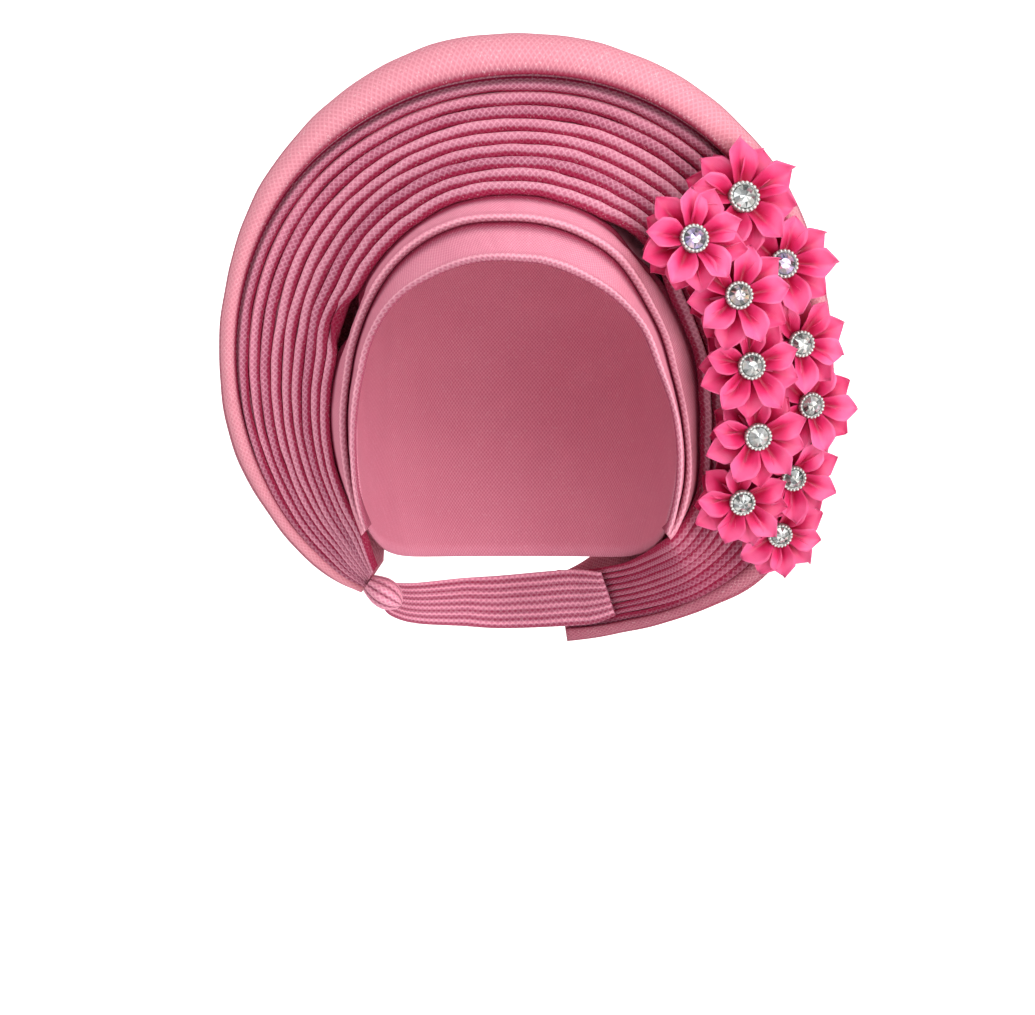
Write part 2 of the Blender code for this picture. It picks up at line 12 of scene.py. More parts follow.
import bmesh
import bpy
import numpy as np
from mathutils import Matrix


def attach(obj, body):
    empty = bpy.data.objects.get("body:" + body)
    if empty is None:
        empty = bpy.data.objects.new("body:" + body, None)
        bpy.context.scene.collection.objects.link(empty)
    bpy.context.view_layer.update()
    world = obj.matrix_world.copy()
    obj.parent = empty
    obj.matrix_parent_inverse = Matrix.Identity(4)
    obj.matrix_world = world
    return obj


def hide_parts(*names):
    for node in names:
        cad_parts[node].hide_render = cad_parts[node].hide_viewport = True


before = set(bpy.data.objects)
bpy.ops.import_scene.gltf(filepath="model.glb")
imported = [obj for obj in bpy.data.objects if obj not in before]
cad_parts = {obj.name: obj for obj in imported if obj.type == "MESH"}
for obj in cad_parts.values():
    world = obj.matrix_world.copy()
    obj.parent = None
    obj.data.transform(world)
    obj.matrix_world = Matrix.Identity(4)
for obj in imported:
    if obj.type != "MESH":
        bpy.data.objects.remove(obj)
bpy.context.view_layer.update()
log = logging.getLogger("head_tie")

Array = np.ndarray
Colour = tuple[float, float, float]

# The photograph's frame, in its own pixels, and the camera that takes it.
PHOTO_WIDTH_PX = 1035
PHOTO_PLANE_Y = -0.030
METRES_PER_PX = 0.00042
CAMERA_REACH = 1.600
CENTRE_DROP = 0.15015
SENSOR_WIDTH = 36.0

# The head and the cap on it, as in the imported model.
HALF_BREADTH = 0.071
HALF_LENGTH = 0.094
CROWN_DROP = 0.095
NAPE_DROP = 0.172
NAPE_TAPER = 0.140
CAP_WALL = 0.0016

# The fan, drawn round a centre in its opening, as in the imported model.
FAN_RADIUS = 0.128
FAN_CENTRE_X = 0.004
FAN_CENTRE_DROP = 0.080
PLEAT_COUNT = 9
PLEAT_TUCK = 0.45
PLEAT_FILL = 0.42
VALLEY_DEPTH = 0.012
LIP_REACH = 0.009
LIP_RUN = 0.002
ROLL_DEPTH = 0.024
BACK_BULGE = 0.005
WRAP_THICKNESS = 0.0022
BAND_THICKNESS = 0.0020
BAND_TUCK = 0.0045
BAND_TUCK_SHARE = 0.35
FOLD_GAP = 0.0005
SEAT_GAP = 0.0003

# How finely the surfaces are worked out.
FAN_STATIONS = 400
CAP_TURNS = 160
CAP_LEVELS = 44

# The least that a fold's front stands off its middle at the edge, as a share of its thickness.
LEAST_EDGE = 0.08


@dataclass(frozen=True)
class Table:
    """A short table of sections, its first column the place and the others named shares.

    Attributes:
        columns: the names of the columns, the place first.
        rows: a row per section.
    """

    columns: tuple[str, ...]
    rows: tuple[tuple[float, ...], ...]

    def read(self, name: str, at: Array) -> Array:
        """Reads a column at many places by a smooth cubic curve through its rows.

        Each row's slope is the mean of the rises on its two sides, or level where they differ in
        sign, so the curve never overshoots a highest or lowest row.

        Args:
            name: the column.
            at: the places.

        Returns:
            The column's value at each place.
        """
        place = np.array([row[0] for row in self.rows])
        value = np.array([row[self.columns.index(name)] for row in self.rows])
        rise = np.diff(value) / np.diff(place)
        slope = np.concatenate([rise[:1], (rise[1:] + rise[:-1]) / 2, rise[-1:]])
        slope[1:-1][rise[1:] * rise[:-1] <= 0] = 0.0
        i = np.clip(np.searchsorted(place, at) - 1, 0, len(place) - 2)
        step = place[i + 1] - place[i]
        t = (at - place[i]) / step
        return (
            value[i] * (1 + 2 * t) * (1 - t) ** 2
            + slope[i] * step * t * (1 - t) ** 2
            + value[i + 1] * t * t * (3 - 2 * t)
            + slope[i + 1] * step * t * t * (t - 1)
        )

    def span(self) -> tuple[float, float]:
        """The first and the last place of the table."""
        return self.rows[0][0], self.rows[-1][0]


# The fan in sections, by the angle round its centre in degrees. The pleats run from inner, a share of
# half the head's breadth, to rim, a share of the fan's radius, as crest is. The depths that end in _y
# are shares of the head's half length, foot is one of the inner reach, and sag, lip and roll are
# shares of the sizes above.
FAN = Table(
    ("angle", "inner", "rim", "crest", "inner_y", "rim_y", "back_y", "sag", "lip", "roll", "foot"),
    (
        (-82.0, 1.40, 0.98, 1.024, 0.84, 0.86, 1.04, 0.0, 0.25, 0.30, 1.02),
        (-70.0, 1.45, 1.00, 1.035, 0.60, 0.65, 0.90, 0.0, 0.20, 0.30, 0.92),
        (-62.0, 1.47, 1.025, 1.050, 0.28, 0.48, 0.70, 0.1, 0.15, 0.35, 0.82),
        (-54.0, 1.47, 1.045, 1.080, -0.15, 0.33, 0.56, 0.2, 0.10, 0.40, 0.75),
        (-44.0, 1.40, 1.060, 1.115, -0.14, 0.23, 0.46, 0.2, 0.15, 0.50, 0.75),
        (-28.0, 1.18, 1.020, 1.085, -0.22, 0.06, 0.34, 0.25, 0.30, 0.60, 0.75),
        (-8.0, 1.02, 0.960, 1.025, -0.34, -0.11, 0.24, 0.3, 0.40, 0.70, 0.75),
        (14.0, 0.89, 0.910, 0.992, -0.48, -0.27, 0.16, 0.45, 0.60, 0.80, 0.75),
        (40.0, 0.845, 0.880, 0.990, -0.67, -0.46, 0.10, 0.7, 0.80, 0.95, 0.75),
        (65.0, 0.81, 0.857, 0.985, -0.765, -0.56, 0.06, 1.0, 1.00, 1.00, 0.75),
        (90.0, 0.825, 0.848, 0.992, -0.80, -0.58, 0.04, 1.0, 1.00, 1.00, 0.75),
        (120.0, 0.89, 0.870, 1.005, -0.76, -0.56, 0.06, 0.9, 0.80, 0.95, 0.75),
        (150.0, 0.98, 0.925, 1.004, -0.60, -0.42, 0.12, 0.8, 0.50, 0.80, 0.75),
        (180.0, 1.10, 0.962, 1.010, -0.36, -0.23, 0.22, 0.6, 0.30, 0.65, 0.75),
        (204.0, 1.30, 0.990, 1.036, -0.21, 0.02, 0.34, 0.4, 0.15, 0.50, 0.75),
        (220.0, 1.44, 1.005, 1.034, -0.13, 0.23, 0.46, 0.2, 0.10, 0.35, 0.79),
        (229.5, 1.53, 1.005, 1.026, -0.14, 0.35, 0.54, 0.1, 0.00, 0.25, 0.86),
        (236.0, 1.66, 0.995, 1.008, 0.06, 0.43, 0.60, 0.0, 0.00, 0.20, 0.96),
    ),
)

# The brow folds, by the same angle: the brow fold's edge, and where the two folds meet, as a share of
# the way from that edge to the innermost pleat.
BROW = Table(
    ("angle", "brow", "brow_y", "seam"),
    (
        (-54.0, 1.42, -0.24, 0.56),
        (-42.0, 1.205, -0.42, 0.46),
        (-29.0, 1.00, -0.51, 0.39),
        (-14.0, 0.80, -0.63, 0.37),
        (4.0, 0.675, -0.72, 0.42),
        (20.0, 0.57, -0.83, 0.50),
        (44.0, 0.46, -0.925, 0.59),
        (80.0, 0.415, -0.97, 0.60),
        (100.0, 0.428, -0.97, 0.60),
        (123.0, 0.50, -0.96, 0.66),
        (147.0, 0.635, -0.885, 0.70),
        (166.0, 0.80, -0.78, 0.63),
        (181.0, 0.916, -0.655, 0.55),
        (194.0, 1.01, -0.57, 0.45),
        (213.0, 1.22, -0.43, 0.42),
        (229.5, 1.48, -0.24, 0.50),
    ),
)

# The cap's lower edge, by the turn round the head from the front, as a share of the nape's drop.
CAP_EDGE = Table(
    ("turn", "drop"),
    (
        (0.0, 0.25),
        (23.0, 0.27),
        (36.0, 0.275),
        (48.0, 0.308),
        (60.0, 0.45),
        (68.0, 0.54),
        (77.0, 0.70),
        (88.0, 0.89),
        (102.0, 0.96),
        (140.0, 1.0),
        (180.0, 1.0),
    ),
)

# How wide the knot is along its run, as a share of its height and its depth.
KNOT_SWELL = Table(
    ("run", "width"),
    ((0.0, 0.62), (0.15, 0.80), (0.45, 1.0), (0.75, 0.86), (0.93, 0.50), (1.0, 0.22)),
)

# The nape's tie: behind the neck by the turn round the head, with its drop and its height as shares
# of the nape's drop and the tie's height, and by the fan's angle where it lies on the pleats.
NAPE_PATH = Table(
    ("turn", "drop", "height"),
    ((-70.0, 1.105, 0.60), (-50.0, 1.12, 0.75), (-25.0, 1.12, 0.90), (-6.0, 1.12, 1.00)),
)

NAPE_ENDS = Table(("angle", "height"), ((-80.0, 1.06), (-75.5, 1.02), (-71.5, 0.86)))

# The painted shade across a pleat, from its rolled edge: deep there, light on its open face, and deep again
# where it goes under the next pleat out.
PLEAT_SHADE = Table(
    ("share", "shade"),
    (
        (0.0, 1.0),
        (0.055, 0.95),
        (0.09, 0.52),
        (0.15, 0.36),
        (0.24, 0.17),
        (0.33, 0.03),
        (0.41, 0.0),
        (0.47, 0.5),
        (0.51, 1.0),
    ),
)

# The same painted shade for the wrap, from its lip to its foot.
WRAP_SHADE = Table(
    ("share", "shade"),
    (
        (0.0, 1.0),
        (0.02, 0.8),
        (0.045, 0.35),
        (0.09, 0.10),
        (0.18, 0.0),
        (0.34, 0.10),
        (0.5, 0.4),
        (1.0, 0.35),
    ),
)

# Where the innermost pleats draw back from the brow folds, over how many degrees, and how far.
HOLLOWS = Table(("angle", "spread", "reach"), ((174.0, 7.0, 0.0066), (38.0, 13.0, 0.0046)))

# The wrap's roll behind its lip, as shares of its width and of its depth.
WRAP_ROLL = ((0.52, 0.02), (0.88, 0.25), (1.00, 0.62), (0.88, 1.00))

# The setting's turned cup, from its foot round its rim to the stone's edge: the reach as a share of its
# radius, the height above its foot in metres, and the shade.
GIRDLE = 0.72
SETTING_CUP = Table(
    ("reach", "height", "shade"),
    (
        (0.92, 0.0, 0.6),
        (1.0, 0.0006, 0.5),
        (0.97, 0.0019, 0.6),
        (0.88, 0.0022, 0.7),
        (0.76, 0.0024, 0.5),
        (GIRDLE, 0.0010, 0.6),
    ),
)

# The cloth: the pitch of a piped edge's slanting threads and how much paler they are, as a painted
# highlight on the rolled edge, how much of the folds' painted shade the threads take, and what cells
# and threads are multiplied by half way into that painted shade.
PIPING_PITCH = 0.0030
PIPING_HIGHLIGHT = 0.10
THREAD_SHADE = 0.92
CELL_DUSK = (0.50, 0.37, 0.43)
THREAD_DUSK = (0.60, 0.48, 0.54)

# How much painted shade deepens the cloth below the flowers, where less light comes, and the angles below
# level where that sets in.
LEE = 0.50
LEE_ANGLES = (20.0, 55.0)

# The glitter: the share of cells without a fleck, and a fleck's size as a share of its cell.
FLECK_RARITY = 0.93
FLECK_SIZE = 0.42


class Slot(Enum):
    """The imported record's material slots."""

    CLOTH = "cloth"
    RIBBON = "ribbon"
    METAL = "setting_metal"
    CRYSTAL = "crystal"


class Hold(Enum):
    """How a sheet of cloth is held."""

    FOLDED = "folded"
    STRETCHED = "stretched"


class Weave(Enum):
    """The weaves that a cloth can have."""

    DIAMOND = "diamond_weave"
    PLAIN = "plain_weave"


class Gleam(Enum):
    """The two colours painted on a foiled stone's facets as the light that it throws back, facet by facet."""

    CLEAR = ((0.70, 0.73, 0.74), (0.80, 0.77, 0.70))
    VIOLET = ((0.52, 0.42, 0.90), (0.92, 0.62, 0.66))
    WARM = ((0.92, 0.72, 0.46), (0.70, 0.60, 0.86))


def linear(red: int, green: int, blue: int) -> Colour:
    """Turns a screen colour, 0 to 255, into the linear one that shaders work in.

    Args:
        red: the red value.
        green: the green value.
        blue: the blue value.

    Returns:
        The linear colour.
    """
    screen = np.array([red, green, blue]) / 255.0
    low = screen / 12.92
    high = ((screen + 0.055) / 1.055) ** 2.4
    return tuple(float(c) for c in np.where(screen <= 0.04045, low, high))


def step_up(value: Array, low: float, high: float) -> Array:
    """A smooth step from 0 at low to 1 at high: three squares less two cubes of the share."""
    t = np.clip((value - low) / (high - low), 0.0, 1.0)
    return t * t * (3 - 2 * t)


def ripple(at: Array, seed: int, length: float) -> Array:
    """A soft uneven wave, between about -1 and 1: four sines of seeded phase, each faster one lower.

    Args:
        at: the places.
        seed: picks the phases.
        length: the length of the slowest sine.

    Returns:
        The wave's height at each place.
    """
    phases = np.random.default_rng(seed).uniform(0.0, 2 * np.pi, 4)
    total = np.zeros_like(at)
    for octave, phase in enumerate(phases):
        total += np.sin(2 * np.pi * at * 1.7**octave / length + phase) / 1.5**octave
    return total / 2.4


def unit(vectors: Array) -> Array:
    """Each vector along the last axis brought to length one."""
    return vectors / np.linalg.norm(vectors, axis=-1, keepdims=True)


def outward(directions: Array) -> Array:
    """The side of a section that shows: each direction turned a quarter turn, to the front."""
    return np.stack([directions[..., 1], -directions[..., 0]], axis=-1)


def curve_through(knots: Array, shares: Array) -> Array:
    """A smooth curve through knots: a cubic whose slope at a knot is half the way between its neighbours.

    Args:
        knots: the knots, as (stations, knots, axes).
        shares: where on the curve, from 0 at the first knot to 1 at the last.

    Returns:
        The curve's points, as (stations, shares, axes).
    """
    before = 2 * knots[:, :1] - knots[:, 1:2]
    after = 2 * knots[:, -1:] - knots[:, -2:-1]
    padded = np.concatenate([before, knots, after], axis=1)
    place = shares * (knots.shape[1] - 1)
    i = np.clip(place.astype(int), 0, knots.shape[1] - 2)
    t = (place - i)[None, :, None]
    p0, p1, p2, p3 = (padded[:, i + k] for k in range(4))
    return 0.5 * (
        2 * p1
        + (p2 - p0) * t
        + (2 * p0 - 5 * p1 + 4 * p2 - p3) * t**2
        + (3 * p1 - p0 - 3 * p2 + p3) * t**3
    )


def run_length(points: Array, axis: int) -> Array:
    """The length run along one axis of a grid of points, from 0 at its start.

    Args:
        points: the points, their places last.
        axis: the axis.

    Returns:
        The length at each point.
    """
    steps = np.linalg.norm(np.diff(points, axis=axis), axis=-1)
    width = [(0, 0)] * steps.ndim
    width[axis] = (1, 0)
    return np.cumsum(np.pad(steps, width), axis=axis)


@dataclass
class Shape:
    """A mesh as whole arrays.

    Attributes:
        points: the points, (points, 3).
        patches: pairs of faces and the UV of their corners, the faces of a pair alike in count.
        shade: how dark each point is painted, 0 to 1: mostly painted shade, deepest in folds.
    """

    points: Array
    patches: list[tuple[Array, Array]]
    shade: Array

    def make(self, name: str, material: bpy.types.Material, flat: bool = False) -> bpy.types.Object:
        """Makes the mesh object, its faces turned out.

        Args:
            name: the object's name.
            material: its material.
            flat: whether its facets stay flat.

        Returns:
            The object, at the origin.
        """
        mesh = bpy.data.meshes.new(name)
        faces = [face for corners, _ in self.patches for face in corners.tolist()]
        mesh.from_pydata(self.points, [], faces)
        corners = np.concatenate([uv.reshape(-1, 2) for _, uv in self.patches])
        mesh.uv_layers.new(name="cloth").data.foreach_set("uv", corners.astype(np.float32).ravel())
        shade = mesh.attributes.new("shade", "FLOAT", "POINT")
        shade.data.foreach_set("value", self.shade.astype(np.float32).ravel())
        turning = bmesh.new()
        turning.from_mesh(mesh)
        bmesh.ops.recalc_face_normals(turning, faces=turning.faces)
        turning.to_mesh(mesh)
        turning.free()
        if flat:
            mesh.shade_flat()
        else:
            mesh.shade_smooth()
        mesh.materials.append(material)
        made = bpy.data.objects.new(name, mesh)
        bpy.context.scene.collection.objects.link(made)
        return made


def ring_patch(uv: Array, count: int) -> tuple[Array, Array]:
    """The faces between rings of points, and their UV.

    Args:
        uv: the UV of the rings, (rings, points of a ring and its first point again, 2).
        count: how many points a ring has.

    Returns:
        The four-sided faces and the UV of their corners.
    """
    i, j = np.meshgrid(np.arange(len(uv) - 1), np.arange(count), indexing="ij")
    k = (j + 1) % count
    faces = np.stack([i * count + j, i * count + k, (i + 1) * count + k, (i + 1) * count + j], axis=-1)
    corners = np.stack([uv[i, j], uv[i, j + 1], uv[i + 1, j + 1], uv[i + 1, j]], axis=-2)
    return faces.reshape(-1, 4), corners.reshape(-1, 4, 2)


def shell(front: Array, back: Array, shade_front: Array, shade_back: Array) -> Shape:
    """A closed thin shell between two surfaces of like grids, such as the two sides of a fold.

    Each ring goes out along the front and home along the back, and both ends are closed by a
    strip between the two.

    Args:
        front: the front surface, (stations, across, 3).
        back: the back surface, the same way.
        shade_front: the front's shade, (stations, across).
        shade_back: the back's shade.

    Returns:
        The shape, its UV in metres along and across.
    """
    rings = np.concatenate([front, back[:, ::-1]], axis=1)
    count = rings.shape[1]
    middle = front[:, front.shape[1] // 2]
    along = np.broadcast_to(run_length(middle, 0)[:, None], (len(rings), count + 1))
    closed = np.concatenate([rings, rings[:, :1]], axis=1)
    across = np.broadcast_to(run_length(closed, 1).mean(axis=0), along.shape)
    uv = np.stack([along, across], axis=-1)
    j = np.arange(front.shape[1] - 1)
    end = np.stack([j, j + 1, count - 2 - j, count - 1 - j], axis=-1)
    last = (len(rings) - 1) * count
    ends = np.concatenate([end, end + last])
    end_uv = uv.reshape(-1, 2)[np.zeros(ends.shape, int)]
    shade = np.concatenate([shade_front, shade_back[:, ::-1]], axis=1)
    return Shape(rings.reshape(-1, 3), [ring_patch(uv, count), (ends, end_uv)], shade.ravel())


def rounded(rings: Array, first: Array, last: Array, shade: Array) -> Shape:
    """A closed shape through rings, closed at both ends by a fan of faces to a point.

    Args:
        rings: the rings, (rings, points, 3).
        first: the point before the first ring.
        last: the point after the last ring.
        shade: the shade of each ring's points, (rings, points).

    Returns:
        The shape, its UV in metres round and along.
    """
    count = rings.shape[1]
    closed = np.concatenate([rings, rings[:, :1]], axis=1)
    round_it = np.broadcast_to(run_length(closed, 1).max(axis=0), closed.shape[:2])
    along = np.broadcast_to(run_length(closed, 0).mean(axis=1)[:, None], closed.shape[:2])
    uv = np.stack([round_it, along], axis=-1)
    j = np.arange(count)
    k = (j + 1) % count
    total = rings.shape[0] * count
    start = np.stack([j, k, np.full(count, total)], axis=-1)
    stop = np.stack([j + total - count, k + total - count, np.full(count, total + 1)], axis=-1)
    start_uv = np.stack([uv[0, j], uv[0, j + 1], uv[0, j]], axis=1)
    stop_uv = np.stack([uv[-1, j], uv[-1, j + 1], uv[-1, j]], axis=1)
    points = np.concatenate([rings.reshape(-1, 3), first[None], last[None]])
    shades = np.concatenate([shade.ravel(), shade[0, :1], shade[-1, :1]])
    return Shape(points, [ring_patch(uv, count), (start, start_uv), (stop, stop_uv)], shades)


def repeated(shape: Shape, points: Array, shade: Array) -> Shape:
    """Many copies of a shape in one mesh, each with its own points.

    Args:
        shape: gives the faces.
        points: the points of all copies, (copies, points, 3).
        shade: their shade, (copies, points).

    Returns:
        The copies as one shape.
    """
    copies, size = points.shape[:2]
    moved = (np.arange(copies) * size)[:, None, None]
    patches = [
        ((faces[None] + moved).reshape(-1, faces.shape[1]), np.tile(uv, (copies, 1, 1)))
        for faces, uv in shape.patches
    ]
    return Shape(points.reshape(-1, 3), patches, shade.ravel())


def united(*shapes: Shape) -> Shape:
    """Several shapes as one mesh, each one's faces counted on from the last one's points."""
    patches, start = [], 0
    for shape in shapes:
        patches += [(faces + start, uv) for faces, uv in shape.patches]
        start += len(shape.points)
    points = np.concatenate([shape.points for shape in shapes])
    return Shape(points, patches, np.concatenate([shape.shade for shape in shapes]))


def place(piece: bpy.types.Object, slot: Slot, *nodes: str) -> bpy.types.Object:
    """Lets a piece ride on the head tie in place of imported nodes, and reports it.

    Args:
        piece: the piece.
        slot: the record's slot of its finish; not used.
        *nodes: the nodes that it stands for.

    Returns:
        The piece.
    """
    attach(piece, "root")
    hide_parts(*nodes)
    log.info("%s stands for %s, %d faces", piece.name, ", ".join(nodes), len(piece.data.polygons))
    return piece


class Bench:
    """Adds nodes to one shader tree and joins them."""

    def __init__(self, tree: bpy.types.NodeTree) -> None:
        """Takes the tree that the nodes go to."""
        self.tree = tree

    def node(self, kind: str, **settings: object) -> bpy.types.Node:
        """Adds a node and sets its named properties.

        Args:
            kind: the node's type.
            **settings: its properties by name.

        Returns:
            The node.
        """
        made = self.tree.nodes.new(kind)
        for name, value in settings.items():
            setattr(made, name, value)
        return made

    def feed(self, socket: bpy.types.NodeSocket, value: object) -> None:
        """Gives a socket another node's output, or a plain value.

        Args:
            socket: the socket that is fed.
            value: the other node's output, or the value.
        """
        if isinstance(value, bpy.types.NodeSocket):
            self.tree.links.new(value, socket)
        else:
            socket.default_value = value

    def math(self, operation: str, *values: object) -> bpy.types.NodeSocket:
        """Adds a math node.

        Args:
            operation: what it does.
            *values: its inputs, in their order.

        Returns:
            Its output.
        """
        made = self.node("ShaderNodeMath", operation=operation)
        for socket, value in zip(made.inputs, values):
            self.feed(socket, value)
        return made.outputs[0]

    def mix(self, share: object, first: object, second: object) -> bpy.types.NodeSocket:
        """Mixes two colours.

        Args:
            share: how much of the second colour there is.
            first: the first colour.
            second: the second colour.

        Returns:
            The mixed colour.
        """
        made = self.node("ShaderNodeMix", data_type="RGBA", clamp_factor=True)
        self.feed(made.inputs[0], share)
        for socket, value in ((made.inputs[6], first), (made.inputs[7], second)):
            self.feed(socket, (*value, 1.0) if isinstance(value, tuple) else value)
        return made.outputs[2]

    def blend(self, share: object, first: object, second: object) -> bpy.types.NodeSocket:
        """Mixes two numbers.

        Args:
            share: how much of the second number there is.
            first: the first number.
            second: the second number.

        Returns:
            The mixed number.
        """
        made = self.node("ShaderNodeMix")
        for socket, value in zip(made.inputs[:1] + made.inputs[2:4], (share, first, second)):
            self.feed(socket, value)
        return made.outputs[0]

    def spread(self, value: object, low: float, high: float) -> bpy.types.NodeSocket:
        """Stretches 0 to 1 to the range from low to high."""
        return self.math("MULTIPLY_ADD", value, high - low, low)

    def noise(self, scale: float, detail: float = 2.0) -> bpy.types.NodeSocket:
        """Adds soft noise, laid out in the object's own space.

        Args:
            scale: how many waves it has to a metre.
            detail: how many finer layers it has.

        Returns:
            Its value, about 0 to 1.
        """
        made = self.node("ShaderNodeTexNoise")
        self.feed(made.inputs["Vector"], self.node("ShaderNodeTexCoord").outputs["Object"])
        made.inputs["Scale"].default_value = scale
        made.inputs["Detail"].default_value = detail
        return made.outputs[0]

    def laid_out(self) -> tuple[bpy.types.NodeSocket, bpy.types.NodeSocket]:
        """The cloth's own UV, in metres along it and across it."""
        split = self.node("ShaderNodeSeparateXYZ")
        self.feed(split.inputs[0], self.node("ShaderNodeUVMap", uv_map="cloth").outputs[0])
        return split.outputs[0], split.outputs[1]

    def shade(self) -> bpy.types.NodeSocket:
        """How dark each place is painted: mostly painted shade, deepest in folds."""
        return self.node("ShaderNodeAttribute", attribute_name="shade").outputs["Fac"]

    def bump(self, height: object, strength: float, distance: float) -> bpy.types.NodeSocket:
        """Turns heights to a bumpy normal.

        Args:
            height: the heights, 0 to 1.
            strength: how strongly they show.
            distance: how high 1 is, in metres.

        Returns:
            The normal.
        """
        made = self.node("ShaderNodeBump")
        made.inputs["Strength"].default_value = strength
        made.inputs["Distance"].default_value = distance
        self.feed(made.inputs["Height"], height)
        return made.outputs[0]


def new_group(name: str, inputs: dict[str, float], outputs: tuple[str, ...]) -> tuple[Bench, dict, dict]:
    """Starts a shader node group with named value sockets.

    Args:
        name: the group's name.
        inputs: each input's name and usual value.
        outputs: the outputs' names.

    Returns:
        The bench of its tree, its input sockets by name, and its output sockets by name.
    """
    tree = bpy.data.node_groups.new(name, "ShaderNodeTree")
    for socket, value in inputs.items():
        tree.interface.new_socket(socket, in_out="INPUT", socket_type="NodeSocketFloat").default_value = value
    for socket in outputs:
        tree.interface.new_socket(socket, in_out="OUTPUT", socket_type="NodeSocketFloat")
    bench = Bench(tree)
    start = bench.node("NodeGroupInput")
    stop = bench.node("NodeGroupOutput")
    return bench, {s.name: s for s in start.outputs if s.name}, {s.name: s for s in stop.inputs if s.name}


def make_diamond_weave() -> None:
    """Makes the lattice weave: two families of slanting threads, each a wave of along plus or less across.

    The threads stand where either wave peaks, and the cells between them lie lower.
    """
    bench, given, out = new_group(
        Weave.DIAMOND.value, {"Along": 0.0, "Across": 0.0, "Pitch": 0.0028}, ("Threads", "Height")
    )
    along = bench.math("DIVIDE", given["Along"], given["Pitch"])
    across = bench.math("DIVIDE", given["Across"], given["Pitch"])
    waves = []
    for operation in ("ADD", "SUBTRACT"):
        slant = bench.math(operation, along, across)
        waves.append(bench.math("MULTIPLY", bench.math("PINGPONG", slant, 0.5), 2.0))
    highest = bench.math("MAXIMUM", *waves)
    bench.feed(out["Threads"], bench.math("SMOOTH_MIN", bench.math("POWER", highest, 2.2), 1.0, 0.1))
    both = bench.math("ADD", *waves)
    bench.feed(out["Height"], bench.math("MULTIPLY", both, 0.5))


def make_plain_weave() -> None:
    """Makes the plain weave: a sine along times a sine across, so threads pass over and under."""
    bench, given, out = new_group(
        Weave.PLAIN.value, {"Along": 0.0, "Across": 0.0, "Pitch": 0.0012}, ("Threads", "Height")
    )
    turns = bench.math("DIVIDE", 2 * math.pi, given["Pitch"])
    waves = [
        bench.math("SINE", bench.math("MULTIPLY", given[name], turns)) for name in ("Along", "Across")
    ]
    both = bench.spread(bench.math("MULTIPLY", *waves), 0.5, 1.0)
    bench.feed(out["Threads"], both)
    bench.feed(out["Height"], both)


def make_fleck() -> None:
    """Makes the glitter: small seeded cells, of which only the brightest few and their middles show."""
    bench, given, out = new_group("fleck", {"Along": 0.0, "Across": 0.0, "Size": 0.0007}, ("Fleck",))
    place_at = bench.node("ShaderNodeCombineXYZ")
    bench.feed(place_at.inputs[0], bench.math("DIVIDE", given["Along"], given["Size"]))
    bench.feed(place_at.inputs[1], bench.math("DIVIDE", given["Across"], given["Size"]))
    cells = bench.node("ShaderNodeTexVoronoi", voronoi_dimensions="2D")
    bench.feed(cells.inputs["Vector"], place_at.outputs[0])
    cells.inputs["Scale"].default_value = 1.0
    split = bench.node("ShaderNodeSeparateColor")
    bench.feed(split.inputs[0], cells.outputs["Color"])
    rare = bench.math("GREATER_THAN", split.outputs[0], FLECK_RARITY)
    near = bench.math("LESS_THAN", cells.outputs["Distance"], FLECK_SIZE)
    bench.feed(out["Fleck"], bench.math("MULTIPLY", rare, near))


def add_group(bench: Bench, name: str, **values: object) -> bpy.types.Node:
    """Places a shader node group in a material, with its own values.

    Args:
        bench: the material's bench.
        name: the group's name.
        **values: what each input gets.

    Returns:
        The group's node.
    """
    made = bench.node("ShaderNodeGroup", node_tree=bpy.data.node_groups[name])
    for socket, value in values.items():
        bench.feed(made.inputs[socket], value)
    return made


def new_material(name: str) -> tuple[bpy.types.Material, Bench, bpy.types.Node]:
    """Makes a material of nodes.

    Args:
        name: its name.

    Returns:
        The material, its bench and its Principled shader.
    """
    made = bpy.data.materials.new(name)
    made.use_nodes = True
    return made, Bench(made.node_tree), made.node_tree.nodes["Principled BSDF"]


